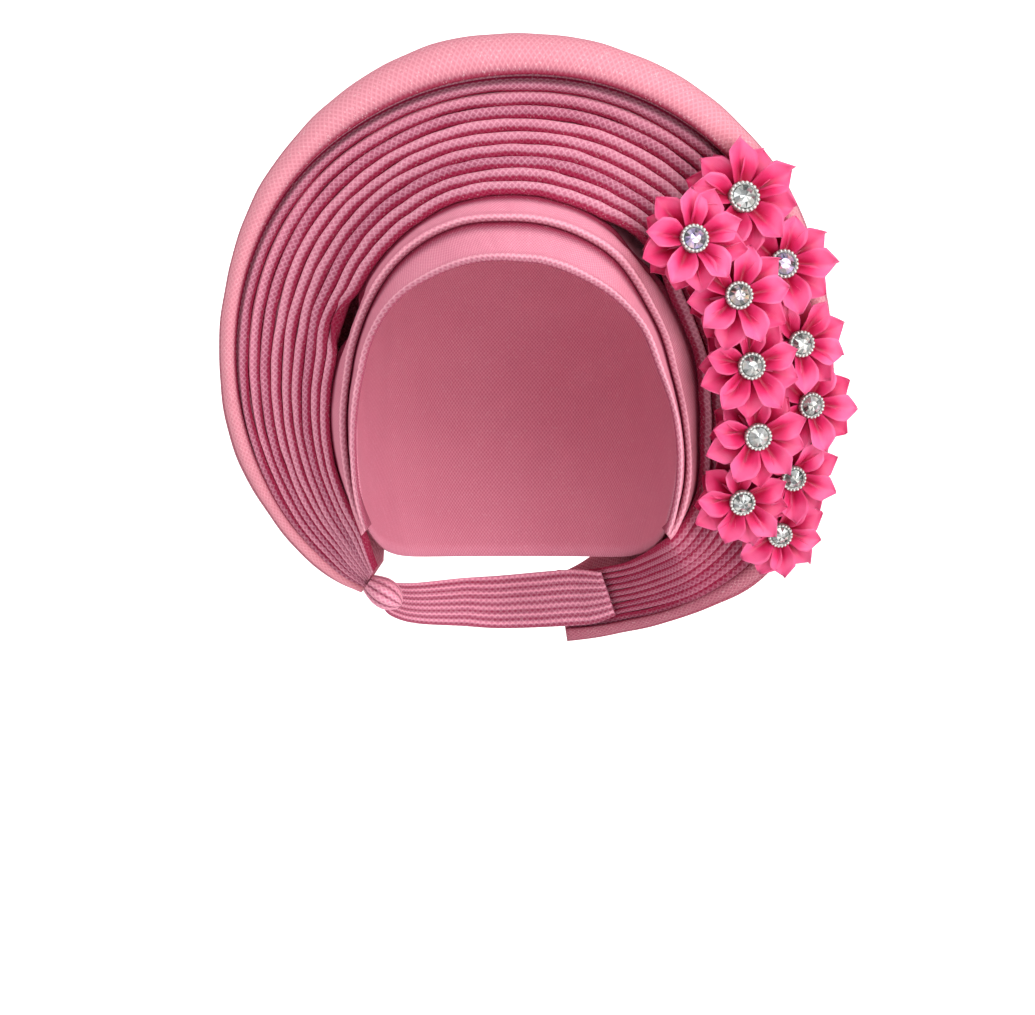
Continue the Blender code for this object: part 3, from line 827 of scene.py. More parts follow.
@dataclass(frozen=True)
class WovenCloth:
    """Woven gele cloth, lighter on its threads, its painted shade deep red where it goes into a fold.

    Attributes:
        name: the finish's name.
        thread: the colour of the raised threads.
        cell: the colour between them.
        weave: the weave.
        pitch: its repeat, in metres.
        relief: how high its threads stand, in metres.
        fleck: how strongly its glitter shows.
        piping: how wide its edge of slanting threads is, in metres, or 0 for none, its threads painted paler
            as a highlight on the rolled edge.
        pale: the paler colour painted on that edge's threads as highlight.
        crease: the colour of the painted shade deep in a fold.
        painted_glint: the near-white colour painted on its glitter's flecks as glint.
        patches: how many soft patches of tone it has to a metre.
        fibres: how many soft fibres it has to a metre.
        matt: its roughness.
        glossy: its glitter's roughness.
        gleam: how strongly it gleams where it lies open, fading to none under its painted shade.
    """

    name: str
    thread: Colour
    cell: Colour
    weave: Weave
    pitch: float
    relief: float
    fleck: float
    piping: float = 0.0
    pale: Colour = (1.0, 0.72, 0.78)
    crease: Colour = linear(140, 26, 58)
    painted_glint: Colour = (1.0, 0.86, 0.88)
    patches: float = 38.0
    fibres: float = 1400.0
    matt: float = 0.82
    glossy: float = 0.32
    gleam: float = 0.12

    def deepened(
        self, bench: Bench, shade: object, open_colour: Colour, dusk: Colour
    ) -> bpy.types.NodeSocket:
        """A colour that goes by its own dusky tone to the crease's colour as its painted shade grows.

        Args:
            bench: the material's bench.
            shade: the shade.
            open_colour: the colour where the cloth lies open.
            dusk: what that colour is multiplied by half way in.

        Returns:
            The colour's socket.
        """
        dusky = tuple(part * share for part, share in zip(open_colour, dusk))
        half = bench.mix(bench.math("MULTIPLY", shade, 2.0), open_colour, dusky)
        return bench.mix(bench.math("MULTIPLY_ADD", shade, 2.0, -1.0), half, self.crease)

    def material(self) -> bpy.types.Material:
        """Makes the material, its pattern laid on the cloth's own UV.

        Returns:
            The material.
        """
        made, bench, shader = new_material(self.name)
        along, across = bench.laid_out()
        shade = bench.shade()
        weave = add_group(bench, self.weave.value, Along=along, Across=across, Pitch=self.pitch)
        fleck = add_group(bench, "fleck", Along=along, Across=across).outputs[0]
        tone = bench.noise(self.patches, 3.0)
        fuzz = bench.noise(self.fibres)
        raised, height = weave.outputs["Threads"], weave.outputs["Height"]
        if self.piping:
            slant = add_group(bench, Weave.DIAMOND.value, Along=along, Across=across, Pitch=PIPING_PITCH)
            edge = bench.math("LESS_THAN", across, self.piping)
            raised = bench.blend(edge, raised, bench.spread(slant.outputs["Threads"], 0.45, 1.35))
            height = bench.blend(edge, height, bench.math("MULTIPLY", slant.outputs["Height"], 3.0))
        threads = bench.math("MULTIPLY", raised, bench.spread(fuzz, 0.55, 1.45))
        uneven = bench.math("SUBTRACT", threads, bench.spread(tone, -0.1, 0.3))
        # Painted shade darkens the cells, and the threads a little less, towards the crease's colour.
        low = self.deepened(bench, shade, self.cell, CELL_DUSK)
        high = self.deepened(bench, bench.math("MULTIPLY", shade, THREAD_SHADE), self.thread, THREAD_DUSK)
        colour = bench.mix(uneven, low, high)
        # The piped edge's threads are painted paler, as a highlight on the rolled edge.
        if self.piping:
            lit = bench.math("MULTIPLY", bench.math("MULTIPLY", edge, raised), PIPING_HIGHLIGHT)
            colour = bench.mix(lit, colour, self.pale)
        # The glitter's flecks are painted near white, as glints.
        glitter = bench.math("MULTIPLY", fleck, self.fleck)
        bench.feed(shader.inputs["Base Color"], bench.mix(glitter, colour, self.painted_glint))
        bench.feed(shader.inputs["Roughness"], bench.spread(glitter, self.matt, self.glossy))
        bench.feed(shader.inputs["Specular IOR Level"], bench.spread(shade, self.gleam, 0.0))
        height = bench.math("ADD", height, bench.math("MULTIPLY", fuzz, 0.35))
        bench.feed(shader.inputs["Normal"], bench.bump(height, 0.6, self.relief))
        return made


@dataclass(frozen=True)
class SatinRibbon:
    """Smooth satin ribbon, bright where it is flat, its painted shade crimson in the petals' cups.

    Attributes:
        name: the finish's name.
        bright: the colour of the open ribbon.
        middle: the colour half way into its painted shade.
        deep: the colour of its painted shade in the cups.
        rib: how wide a rib of the weave is, in metres.
    """

    name: str
    bright: Colour
    middle: Colour
    deep: Colour
    rib: float = 0.0005

    def material(self) -> bpy.types.Material:
        """Makes the material, with fine ribs along the ribbon.

        Returns:
            The material.
        """
        made, bench, shader = new_material(self.name)
        tone = bench.noise(120.0)
        uneven = bench.math("ADD", bench.shade(), bench.spread(tone, -0.10, 0.10))
        half = bench.mix(bench.math("MULTIPLY", uneven, 2.0), self.bright, self.middle)
        whole = bench.mix(bench.math("MULTIPLY_ADD", uneven, 2.0, -1.0), half, self.deep)
        bench.feed(shader.inputs["Base Color"], whole)
        bench.feed(shader.inputs["Roughness"], bench.spread(tone, 0.36, 0.50))
        shader.inputs["Specular IOR Level"].default_value = 0.45
        shader.inputs["Sheen Weight"].default_value = 0.12
        shader.inputs["Sheen Roughness"].default_value = 0.35
        _, across = bench.laid_out()
        ribs = bench.math("SINE", bench.math("MULTIPLY", across, 2 * math.pi / self.rib))
        bench.feed(shader.inputs["Normal"], bench.bump(ribs, 0.25, 0.00008))
        return made


@dataclass(frozen=True)
class Silver:
    """Bright plated metal, a little smudged.

    Attributes:
        name: the finish's name.
        colour: its colour.
        darker_tone: the darker colour that its shade mixes in: part way on the setting's cup, not on its
            small stones.
    """

    name: str
    colour: Colour
    darker_tone: Colour = (0.10, 0.09, 0.09)

    def material(self) -> bpy.types.Material:
        """Makes the material, its roughness uneven.

        Returns:
            The material.
        """
        made, bench, shader = new_material(self.name)
        colour = bench.mix(bench.shade(), self.colour, self.darker_tone)
        bench.feed(shader.inputs["Base Color"], colour)
        bench.feed(shader.inputs["Roughness"], bench.spread(bench.noise(600.0), 0.10, 0.28))
        shader.inputs["Metallic"].default_value = 0.55
        return made


@dataclass(frozen=True)
class CutCrystal:
    """Foiled cut crystal, each facet painted with its own brightness, as the light that it throws back.

    Attributes:
        name: the finish's name.
        gleam: the colours that it throws back.
        dark: the colour painted on the facets that throw back little light.
    """

    name: str
    gleam: Gleam
    dark: Colour = (0.06, 0.07, 0.07)

    def material(self) -> bpy.types.Material:
        """Makes the material, its facets told apart by their shade.

        Returns:
            The material.
        """
        made, bench, shader = new_material(self.name)
        play = bench.noise(420.0)
        first, other = self.gleam.value
        tint = bench.mix(bench.spread(play, -1.0, 2.0), first, other)
        bench.feed(shader.inputs["Base Color"], bench.mix(bench.shade(), tint, self.dark))
        bench.feed(shader.inputs["Roughness"], bench.spread(play, 0.02, 0.12))
        shader.inputs["Metallic"].default_value = 0.55
        shader.inputs["Coat Weight"].default_value = 1.0
        shader.inputs["Coat Roughness"].default_value = 0.02
        return made


@dataclass
class FanLines:
    """The fan's folds in section, at many angles at once, as points of reach and depth.

    Attributes:
        angles: the angles round the fan's centre, in degrees.
        banded: whether the brow folds run at these angles too.
    """

    angles: Array
    banded: bool

    def space(self, section: Array) -> Array:
        """Turns points of reach and depth at each angle into places.

        Args:
            section: the points, (angles, points, 2).

        Returns:
            The places, (angles, points, 3).
        """
        a = np.radians(self.angles)[:, None]
        reach, depth = section[..., 0], section[..., 1]
        x, z = FAN_CENTRE_X + reach * np.cos(a), reach * np.sin(a) - FAN_CENTRE_DROP
        return np.stack([x, depth, z], axis=-1)

    def point(self, table: Table, reach: str, size: float, depth: str) -> Array:
        """A point of a table at each angle.

        Args:
            table: the table.
            reach: the column of its reach.
            size: what that column is a share of.
            depth: the column of its depth, a share of half the head's length.

        Returns:
            The points, (angles, 2).
        """
        reaches = table.read(reach, self.angles) * size
        depths = table.read(depth, self.angles) * HALF_LENGTH
        return np.stack([reaches, depths], axis=-1)

    def base(self) -> tuple[Array, Array, Array]:
        """The straight line under the pleats.

        Returns:
            Its inner end, its direction and its length at each angle.
        """
        inner = self.point(FAN, "inner", HALF_BREADTH, "inner_y")
        rim = self.point(FAN, "rim", FAN_RADIUS, "rim_y")
        return inner, unit(rim - inner), np.linalg.norm(rim - inner, axis=-1)

    def ridge(self, share: Array) -> Array:
        """A point of the surface that the pleats' edges lie on, sagging back between brow and rim.

        Args:
            share: how far out it lies, as a share of the line under the pleats, one for each angle.

        Returns:
            The points, (angles, 2).
        """
        inner, along, length = self.base()
        bow = np.sin(np.pi * np.clip(share, 0.0, 1.0) ** 1.3)
        sag = FAN.read("sag", self.angles) * VALLEY_DEPTH * bow
        return inner + along * (length * share)[:, None] + np.stack([np.zeros_like(sag), sag], -1)

    def pleat_thickness(self) -> Array:
        """How thick a pleat is at each angle."""
        return PLEAT_FILL * self.base()[2] / PLEAT_COUNT

    def cap_reach(self, depth: Array) -> Array:
        """How far from the fan's centre the cap's outside lies, found by halving a range again and again.

        Args:
            depth: the depth at each angle.

        Returns:
            The reach at each angle.
        """
        a = np.radians(self.angles)
        near = np.zeros_like(a)
        far = np.full_like(a, 6 * HALF_LENGTH)
        for _ in range(40):
            reach = (near + far) / 2
            x = (FAN_CENTRE_X + reach * np.cos(a)) / (HALF_BREADTH + CAP_WALL)
            level = reach * np.sin(a) - FAN_CENTRE_DROP + CROWN_DROP
            z = level / np.where(level > 0, CROWN_DROP + CAP_WALL, NAPE_TAPER)
            outside = x * x + z * z + (depth / (HALF_LENGTH + CAP_WALL)) ** 2 > 1
            far = np.where(outside, reach, far)
            near = np.where(outside, near, reach)
        return near

    def wrap_middle(self) -> Array:
        """The outer wrap's middle line at each angle.

        Returns:
            Its knots, (angles, 7, 2): the lip, the four of its roll, the back's middle and the foot.
        """
        along = self.base()[1]
        lip = self.ridge(np.ones_like(self.angles)) - outward(along) * WRAP_THICKNESS / 2
        lip = lip - np.stack([np.zeros(len(lip)), FAN.read("lip", self.angles) * LIP_REACH], -1)
        roll = FAN.read("roll", self.angles) * ROLL_DEPTH
        width = FAN.read("crest", self.angles) * FAN_RADIUS - WRAP_THICKNESS / 2 - lip[:, 0]
        rolled = [lip + np.stack([out * width, back * roll], -1) for out, back in WRAP_ROLL]
        depth = FAN.read("back_y", self.angles) * HALF_LENGTH
        lowest = FAN.read("foot", self.angles) * FAN.read("inner", self.angles) * HALF_BREADTH
        seat = self.cap_reach(depth) + WRAP_THICKNESS / 2 + SEAT_GAP
        foot = np.stack([np.maximum(seat, lowest), depth], -1)
        middle = (rolled[-1] + foot) / 2 + np.array([0.0, BACK_BULGE])
        return np.stack([lip, *rolled, middle, foot], axis=1)

    def folds(self) -> list[Array]:
        """The folds' middle lines, from the one under the wrap's lip inwards.

        Each line starts at its fold's free edge, nearest the brow, and ends behind the fold
        outside it, half of both thicknesses and a gap away.

        Returns:
            For each fold its three knots, (angles, 3, 2): the line under the lip, the pleats, and
            where the brow folds run the upper and the brow fold.
        """
        thick = self.pleat_thickness()
        _, along, length = self.base()
        under = self.ridge(np.ones_like(thick)) - outward(along) * WRAP_THICKNESS / 2
        lines = [np.stack([under + along * step for step in (0.0, LIP_RUN / 2, LIP_RUN)], axis=1)]
        outer = np.full_like(thick, WRAP_THICKNESS)
        for number in range(1, PLEAT_COUNT + 1):
            share = np.full_like(thick, (PLEAT_COUNT - number) / PLEAT_COUNT)
            start = self.ridge(share) - outward(along) * (thick / 2)[:, None]
            lines.append(self.tucked(start, thick, lines[-1], outer, PLEAT_TUCK * length / PLEAT_COUNT))
            outer = thick
        if self.banded:
            edge = self.point(BROW, "brow", HALF_BREADTH, "brow_y")
            inmost = lines[-1][:, 0]
            across = inmost - edge
            inset = -outward(unit(across)) * BAND_THICKNESS / 2
            seam = edge + across * BROW.read("seam", self.angles)[:, None]
            tuck = np.minimum(BAND_TUCK, BAND_TUCK_SHARE * np.linalg.norm(across, axis=-1))
            band = np.full_like(thick, BAND_THICKNESS)
            lines.append(self.tucked(seam + inset, band, lines[-1], outer, tuck))
            lines.append(self.tucked(edge + inset, band, lines[-1], band, tuck))
        return lines

    @staticmethod
    def tucked(start: Array, thick: Array, outer: Array, outer_thick: Array, tuck: Array) -> Array:
        """A fold's three knots, from its free edge to where it ends behind the next fold out.

        Args:
            start: its free edge, (angles, 2).
            thick: its thickness at each angle.
            outer: the knots of the next fold out.
            outer_thick: that fold's thickness.
            tuck: how far it runs on behind that fold.

        Returns:
            The knots, (angles, 3, 2).
        """
        along = unit(outer[:, 1] - outer[:, 0])
        turn_in = outer[:, 0] - outward(along) * ((thick + outer_thick) / 2 + FOLD_GAP)[:, None]
        return np.stack([start, turn_in, turn_in + along * tuck[:, None]], axis=1)


def quarter_circle(share: Array) -> Array:
    """How far a quarter circle has risen at each share of its width, and never less than LEAST_EDGE."""
    near = np.clip(share, 0.0, 1.0)
    return np.maximum(np.sqrt(np.clip(1 - (1 - near) ** 2, 0.0, 1.0)), LEAST_EDGE)


def fold_shape(
    lines: FanLines,
    middle: Array,
    half: Array,
    crown: Array,
    shade: Array,
    sunk: Array,
    edge: float = 0.0,
) -> tuple[Shape, float, float]:
    """The closed shape of a folded strip round its middle surface.

    Front and back lie half a thickness to either side of the middle line, the front raised by
    its crown, and both close in a half circle at the free edge.

    Args:
        lines: the angles that the strip runs through.
        middle: its middle line at each angle, (angles, across, 2).
        half: half its thickness, (angles, 1).
        crown: how much further the front stands out, (angles, across).
        shade: the front's shade, (across,) or (angles, across).
        sunk: the back's shade, (across,) or (angles, across).
        edge: how much of the way to the fold's turn its round edge takes in front, or 0 for
            half its thickness.

    Returns:
        The shape, and the width and the length of the cloth in it.
    """
    heading = unit(np.gradient(middle, axis=1))
    side = outward(heading)
    run = run_length(middle, 1)
    closing = quarter_circle(run / half)
    easing = quarter_circle(run / (edge * run[:, -1:])) if edge else closing
    front = middle + side * ((half + crown) * easing)[..., None]
    back = middle - side * (half * closing)[..., None]
    shape = shell(
        lines.space(front),
        lines.space(back),
        np.broadcast_to(shade, front.shape[:2]),
        np.broadcast_to(sunk, back.shape[:2]),
    )
    centre = lines.space(middle)[:, middle.shape[1] // 2]
    return shape, float(run[:, -1].mean()), float(run_length(centre, 0)[-1])


def drawn_back(angles: Array) -> Array:
    """How far the innermost pleat draws back from the brow folds: a bell round each hollow's middle."""
    bells = (reach * np.exp(-(((angles - at) / spread) ** 2)) for at, spread, reach in HOLLOWS.rows)
    return sum(bells)


def in_lee(angles: Array, shade: Array) -> Array:
    """A shade across a fold, deepened at each angle below the flowers, where less light comes.

    Args:
        angles: the fold's angles.
        shade: its shade across, (across,).

    Returns:
        Its shade at each angle, (angles, across).
    """
    lee = LEE * step_up(-angles, *LEE_ANGLES)[:, None]
    return shade + (1.0 - shade) * lee


@dataclass
class PleatedFan:
    """The nine narrow pleats inside the wrap, each one tucked behind the next one out.

    Attributes:
        crown: how far a pleat's front swells, as a share of its thickness.
        edge: how much of a pleat's width its round edge takes.
        sway: how far a pleat's edge wanders, in metres.
        across: how many points a pleat has across its front.
        cloth_width: the least width of cloth in a pleat.
        fading: how much less each next pleat out draws back.
        first_spread: how far the first pleat's shade is spread, because the wrap's lip leaves
            more of that pleat open.
    """

    crown: float = 1.05
    edge: float = 0.36
    sway: float = 0.0005
    across: int = 30
    cloth_width: float = 0.010
    fading: float = 0.40
    first_spread: float = 0.88

    def build(self, cloths: list[bpy.types.Material]) -> None:
        """Builds the pleats and gives them their materials in turn.

        A pleat's front is its middle line raised by its crown, a sine of the way to the next
        pleat's edge, and rounded off at its own edge by a quarter circle.

        Args:
            cloths: the material of each pleat's cloth, the outermost first.
        """
        lines = FanLines(np.linspace(*FAN.span(), FAN_STATIONS), False)
        knots = lines.folds()
        along = lines.base()[1]
        thick = lines.pleat_thickness()[:, None]
        shares = np.linspace(0.0, 1.0, self.across) ** 1.25
        pull = drawn_back(lines.angles)
        for number in range(1, PLEAT_COUNT + 1):
            drawn = pull * self.fading ** (PLEAT_COUNT - number)
            drawn = drawn + self.sway * ripple(lines.angles, 40 + number, 31.0)
            bent = knots[number].copy()
            bent[:, 0] += along * drawn[:, None]
            middle = curve_through(bent, shares)
            to_next = np.clip(shares * 2, 0.0, 1.0)
            uneven = 1 + 0.15 * ripple(lines.angles, number, 47.0)[:, None]
            crown = self.crown * thick * np.sin(np.pi * to_next) * uneven
            # Painted shade across the pleat, deepened below the flowers; its back is all painted shade.
            spread = self.first_spread if number == 1 else 1.0
            shade = in_lee(lines.angles, PLEAT_SHADE.read("shade", shares * spread))
            shape, width, length = fold_shape(
                lines, middle, thick / 2, crown, shade, np.ones_like(shade), self.edge
            )
            piece = shape.make(f"pleat_{number}_cloth", cloths[number - 1])
            place(piece, Slot.CLOTH, f"pleat_{number}")


@dataclass
class OuterWrap:
    """The wide rounded wrap round the pleats: a rolled lip, a shoulder and a plain back.

    Attributes:
        across: how many points it has from lip to foot.
        sway: how far its face wanders, in metres.
        swell: how far its face is rounded, in metres.
        inside: how much painted shade its inner side has.
    """

    across: int = 72
    sway: float = 0.0005
    swell: float = 0.0014
    inside: float = 0.45

    def build(self, cloth: bpy.types.Material) -> None:
        """Builds the wrap, its face swelling to a low round.

        Args:
            cloth: the cloth's material.
        """
        lines = FanLines(np.linspace(*FAN.span(), FAN_STATIONS), False)
        shares = np.linspace(0.0, 1.0, self.across) ** 1.15
        middle = curve_through(lines.wrap_middle(), shares)
        half = np.full((len(lines.angles), 1), WRAP_THICKNESS / 2)
        wave = ripple(lines.angles, 7, 41.0)[:, None] * np.sin(np.pi * shares)
        crown = self.sway * wave + self.swell * np.sin(np.pi * np.clip(shares / 0.4, 0.0, 1.0))
        # Painted shade across the wrap, deepened below the flowers, and on its inner side.
        shade = in_lee(lines.angles, WRAP_SHADE.read("shade", shares))
        sunk = np.full_like(shade, self.inside)
        shape, width, length = fold_shape(lines, middle, half, crown, shade, sunk)
        piece = shape.make("outer_wrap_cloth", cloth)
        place(piece, Slot.CLOTH, "outer_wrap")


@dataclass
class BrowFolds:
    """The two wide smooth folds that frame the opening, each with a rope-like edge.

    Attributes:
        across: how many points a fold has across its front.
        rope: how far the folded edge stands out, in metres.
        rope_width: how wide that edge is, in metres.
        crown: how far the fold's face swells, in metres.
        inside: how much painted shade its inner side has.
    """

    across: int = 30
    rope: float = 0.0011
    rope_width: float = 0.0016
    crown: float = 0.0007
    inside: float = 0.7

    def build(self, cloth: bpy.types.Material) -> None:
        """Builds the upper and the brow fold, each with a rope, a bell in section, along its edge.

        Args:
            cloth: the cloth's material.
        """
        lines = FanLines(np.linspace(*BROW.span(), FAN_STATIONS), True)
        knots = lines.folds()
        half = np.full((len(lines.angles), 1), BAND_THICKNESS / 2)
        shares = np.linspace(0.0, 1.0, self.across) ** 1.35
        for i, name in enumerate(("upper_fold", "brow_fold")):
            middle = curve_through(knots[PLEAT_COUNT + 1 + i], shares)
            if i == 0:
                dip = drawn_back(lines.angles)[:, None] * step_up(shares, 0.22, 0.5)
                middle = middle - outward(unit(np.gradient(middle, axis=1))) * dip[..., None]
            run = run_length(middle, 1)
            rope = self.rope * np.exp(-(((run - self.rope_width) / self.rope_width) ** 2))
            face = self.crown * np.sin(np.pi * np.clip(shares * 2, 0.0, 1.0))
            uneven = 1 + 0.4 * ripple(lines.angles, 20 + i, 23.0)[:, None]
            # Painted shade where the fold goes under the next fold out, and along the underside of its edge.
            shade = 0.95 * step_up(shares, 0.30, 0.5) + 0.8 * (1 - step_up(shares, 0.0, 0.03))
            sunk = np.full_like(shade, self.inside)
            shape, width, length = fold_shape(lines, middle, half, rope + face * uneven, shade, sunk)
            piece = shape.make(f"{name}_cloth", cloth)
            place(piece, Slot.CLOTH, name)


@dataclass
class CrownCap:
    """The soft cap under the folds, over the crown and down to the nape.

    Attributes:
        pucker: how deep its soft creases are, in metres.
        inside: how much painted shade its inner side has.
        cut: how much cloth is in it, in square metres.
    """

    pucker: float = 0.0005
    inside: float = 0.10
    cut: float = 0.062

    def layer(self, wall: float) -> Array:
        """One side of the cap: an upright oval, longer below its widest line, cut away in front.

        Args:
            wall: how far it lies outside the head.

        Returns:
            Its points, (levels, turns, 3), without the crown's own point.
        """
        turn = np.linspace(0.0, 360.0, CAP_TURNS, endpoint=False)
        drop = CAP_EDGE.read("drop", np.minimum(turn, 360.0 - turn)) * NAPE_DROP
        low = CROWN_DROP - drop
        high_edge = np.arccos(np.clip(low / CROWN_DROP, -1.0, 1.0))
        low_edge = np.pi / 2 + np.arcsin(np.clip(-low / NAPE_TAPER, -1.0, 1.0))
        lowest = np.where(low > 0, high_edge, low_edge)
        fall = lowest[None, :] * (np.arange(1, CAP_LEVELS + 1) / CAP_LEVELS)[:, None]
        around = np.radians(turn)[None, :]
        tall = np.where(fall < np.pi / 2, CROWN_DROP + wall, NAPE_TAPER)
        crease = self.pucker * ripple(turn, 3, 33.0)[None, :] * np.sin(fall) ** 2
        return np.stack(
            [
                np.sin(around) * np.sin(fall) * (HALF_BREADTH + wall + crease),
                -np.cos(around) * np.sin(fall) * (HALF_LENGTH + wall + crease),
                np.cos(fall) * tall - CROWN_DROP,
            ],
            axis=-1,
        )

    def build(self, cloth: bpy.types.Material) -> None:
        """Builds the cap, its outside and its lining in one closed shape.

        Args:
            cloth: the cloth's material.
        """
        outer, inner = self.layer(CAP_WALL), self.layer(0.0)
        rings = np.concatenate([outer, inner[::-1]])
        # The outside has no painted shade; the inner side has a little.
        shade = np.concatenate([np.zeros(outer.shape[:2]), np.full(inner.shape[:2], self.inside)])
        crown = np.array([0.0, 0.0, CAP_WALL])
        piece = rounded(rings, crown, np.zeros(3), shade).make("crown_cap_cloth", cloth)
        place(piece, Slot.CLOTH, "crown_cap")


@dataclass
class SideKnot:
    """The gathered cloth below the pleats' lower ends, pinched where they enter it.

    Attributes:
        length: how long it is.
        height: how high it is.
        depth: how deep it is.
        place: where it lies on the pleats' line.
        folds: how many gathers run round it.
        twist: how far they turn from one end to the other, in radians.
        gather: how deep the gathers are, as a share of its width.
        roundness: the power that rounds their ridges.
        fill: how full it is.
    """

    length: float = 0.017
    height: float = 0.0135
    depth: float = 0.026
    place: float = 0.62
    folds: int = 9
    twist: float = 0.9
    gather: float = 0.14
    roundness: float = 0.7
    fill: float = 0.7

    def axis(self) -> tuple[Array, Array]:
        """The knot's axis.

        Returns:
            Where it meets the pleats' lower ends, and the way that it runs.
        """
        last = FAN.span()[1]
        lines = FanLines(np.array([last]), False)
        inner, along, length = lines.base()
        centre = lines.space((inner + along * (length * self.place)[:, None])[:, None])[0, 0]
        a = math.radians(last)
        return centre, np.array([-math.sin(a), 0.0, math.cos(a)])

    def build(self, cloth: bpy.types.Material) -> None:
        """Builds the knot: a soft bulb whose gathers are rounded ridges, the sine of many turns.

        Args:
            cloth: the cloth's material.
        """
        centre, down = self.axis()
        out = np.array([down[2], 0.0, -down[0]])
        run = np.linspace(0.0, 1.0, 40)
        t = np.linspace(0.0, 2 * np.pi, 96, endpoint=False)[None, :]
        swell = KNOT_SWELL.read("width", run)[:, None]
        ridge = np.abs(np.sin((self.folds * t) / 2 + self.twist * run[:, None])) ** self.roundness
        reach = swell * (1 - self.gather + self.gather * ridge)
        rings = (
            centre
            + down * (FOLD_GAP + run[:, None, None] * self.length)
            + out * (np.cos(t) * reach * self.height / 2)[..., None]
            + np.array([0.0, 1.0, 0.0]) * (np.sin(t) * reach * self.depth / 2)[..., None]
        )
        first, last = rings[0].mean(axis=0), rings[-1].mean(axis=0)
        # Painted shade in the hollows between the gathers.
        shade = np.clip(0.9 - ridge * 1.1, 0.0, 1.0) * np.ones_like(swell)
        piece = rounded(rings, first, last, shade).make("side_knot_cloth", cloth)
        place(piece, Slot.CLOTH, "side_knot")


@dataclass
class NapeTie:
    """The plain tie behind the neck, from the knot round to the pleats' other ends.

    Attributes:
        breadth: how broad the curve is that it follows.
        length: how long that curve is.
        centre: how far back its middle lies.
        height: how high the tie is.
        thickness: how thick it is.
        stand: how far it stands off.
        start: where it leaves the knot, as a share of the knot's length.
        start_height: how high it is there, as a share of its next height.
        end_place: where it crosses the pleats' line.
        creases: how many creases run along it on one side.
        crease_depth: how deep they are, as a share of the cloth between them.
        body: how thick that cloth is, as a share of the tie's thickness.
    """

    breadth: float = 0.112
    length: float = 0.120
    centre: float = 0.024
    height: float = 0.024
    thickness: float = 0.003
    stand: float = 0.0025
    start: float = 0.45
    start_height: float = 0.7
    end_place: float = 0.47
    creases: int = 7
    crease_depth: float = 0.22
    body: float = 0.8

    def path(self, knot: SideKnot) -> tuple[Array, Array, Array]:
        """The places that the tie runs through, the way its height runs, and its height at each.

        Args:
            knot: the knot that it starts from.

        Returns:
            The places, (places, 3), the ways, (places, 3), and the heights.
        """
        stand = self.thickness / 2 + self.stand
        centre, down = knot.axis()
        start = centre + down * knot.length * self.start + np.array([0.0, knot.depth / 2 + SEAT_GAP, 0.0])
        rows = np.array(NAPE_PATH.rows)
        a = np.radians(rows[:, 0])
        x = np.sin(a) * (self.breadth / 2 + stand)
        y = np.cos(a) * (self.length / 2 + stand) + self.centre
        behind = np.stack([x, y, -rows[:, 1] * NAPE_DROP], -1)
        ends = np.array(NAPE_ENDS.rows)
        lines = FanLines(ends[:, 0], False)
        shares = [np.full(len(ends), share) for share in (1.0, self.end_place, 0.0)]
        low, seat, high = (lines.space(lines.ridge(share)[:, None])[:, 0] for share in shares)
        places = np.concatenate([start[None], behind, seat - np.array([0.0, stand, 0.0])])
        upright = np.broadcast_to([0.0, 0.0, 1.0], (len(rows) + 1, 3))
        heights = np.concatenate([[rows[0, 2] * self.start_height], rows[:, 2], ends[:, 1]])
        return places, np.concatenate([upright, unit(high - low)]), heights

    def build(self, cloth: bpy.types.Material, knot: SideKnot) -> None:
        """Builds the tie: a flat oval carried round the nape, with lengthwise creases.

        Args:
            cloth: the cloth's material.
            knot: the knot that it starts from.
        """
        places, ways, heights = self.path(knot)
        shares = np.linspace(0.0, 1.0, 170)
        middle = curve_through(places[None], shares)[0]
        tall = unit(curve_through(ways[None], shares)[0])
        height = curve_through(heights[None, :, None], shares)[0]
        wide = unit(np.cross(np.gradient(middle, axis=0), tall))
        t = np.linspace(0.0, 2 * np.pi, 72, endpoint=False)
        flat = np.sign(np.sin(t)) * np.abs(np.sin(t)) ** 0.6
        wave = np.sin(self.creases * np.pi * np.cos(t) + 0.6 * ripple(shares, 5, 0.4)[:, None])
        closing = np.clip(np.minimum(shares, 1 - shares) * 40, 0.25, 1.0)[:, None]
        deep = self.thickness / 2 * self.body * flat * (1 + self.crease_depth * wave) * closing
        high = height * self.height / 2 * np.cos(t)
        rings = middle[:, None] + wide[:, None] * deep[..., None] + tall[:, None] * high[..., None]
        # Painted shade in the creases' hollows.
        shade = np.clip(0.45 - 0.45 * wave, 0.0, 0.8)
        piece = rounded(rings, middle[0], middle[-1], shade).make("nape_tie_cloth", cloth)
        place(piece, Slot.CLOTH, "nape_tie")
        run = float(run_length(middle, 0)[-1])


@dataclass(frozen=True)
class FlowerPlace:
    """Where a flower sits and how it is turned.

    Attributes:
        angle: its angle round the fan's centre.
        reach: its reach, as a share of the fan's radius.
        size: its size, as a share of the largest flower's.
        depth: its depth, as a share of half the head's length.
        spin: its turn about its own axis, in degrees.
        lean_x: how far it leans to the wearer's left.
        lean_z: how far it leans up.
        gleam: the colour of its stone.
    """

    angle: float
    reach: float
    size: float
    depth: float
    spin: float
    lean_x: float
    lean_z: float
    gleam: Gleam = Gleam.CLEAR


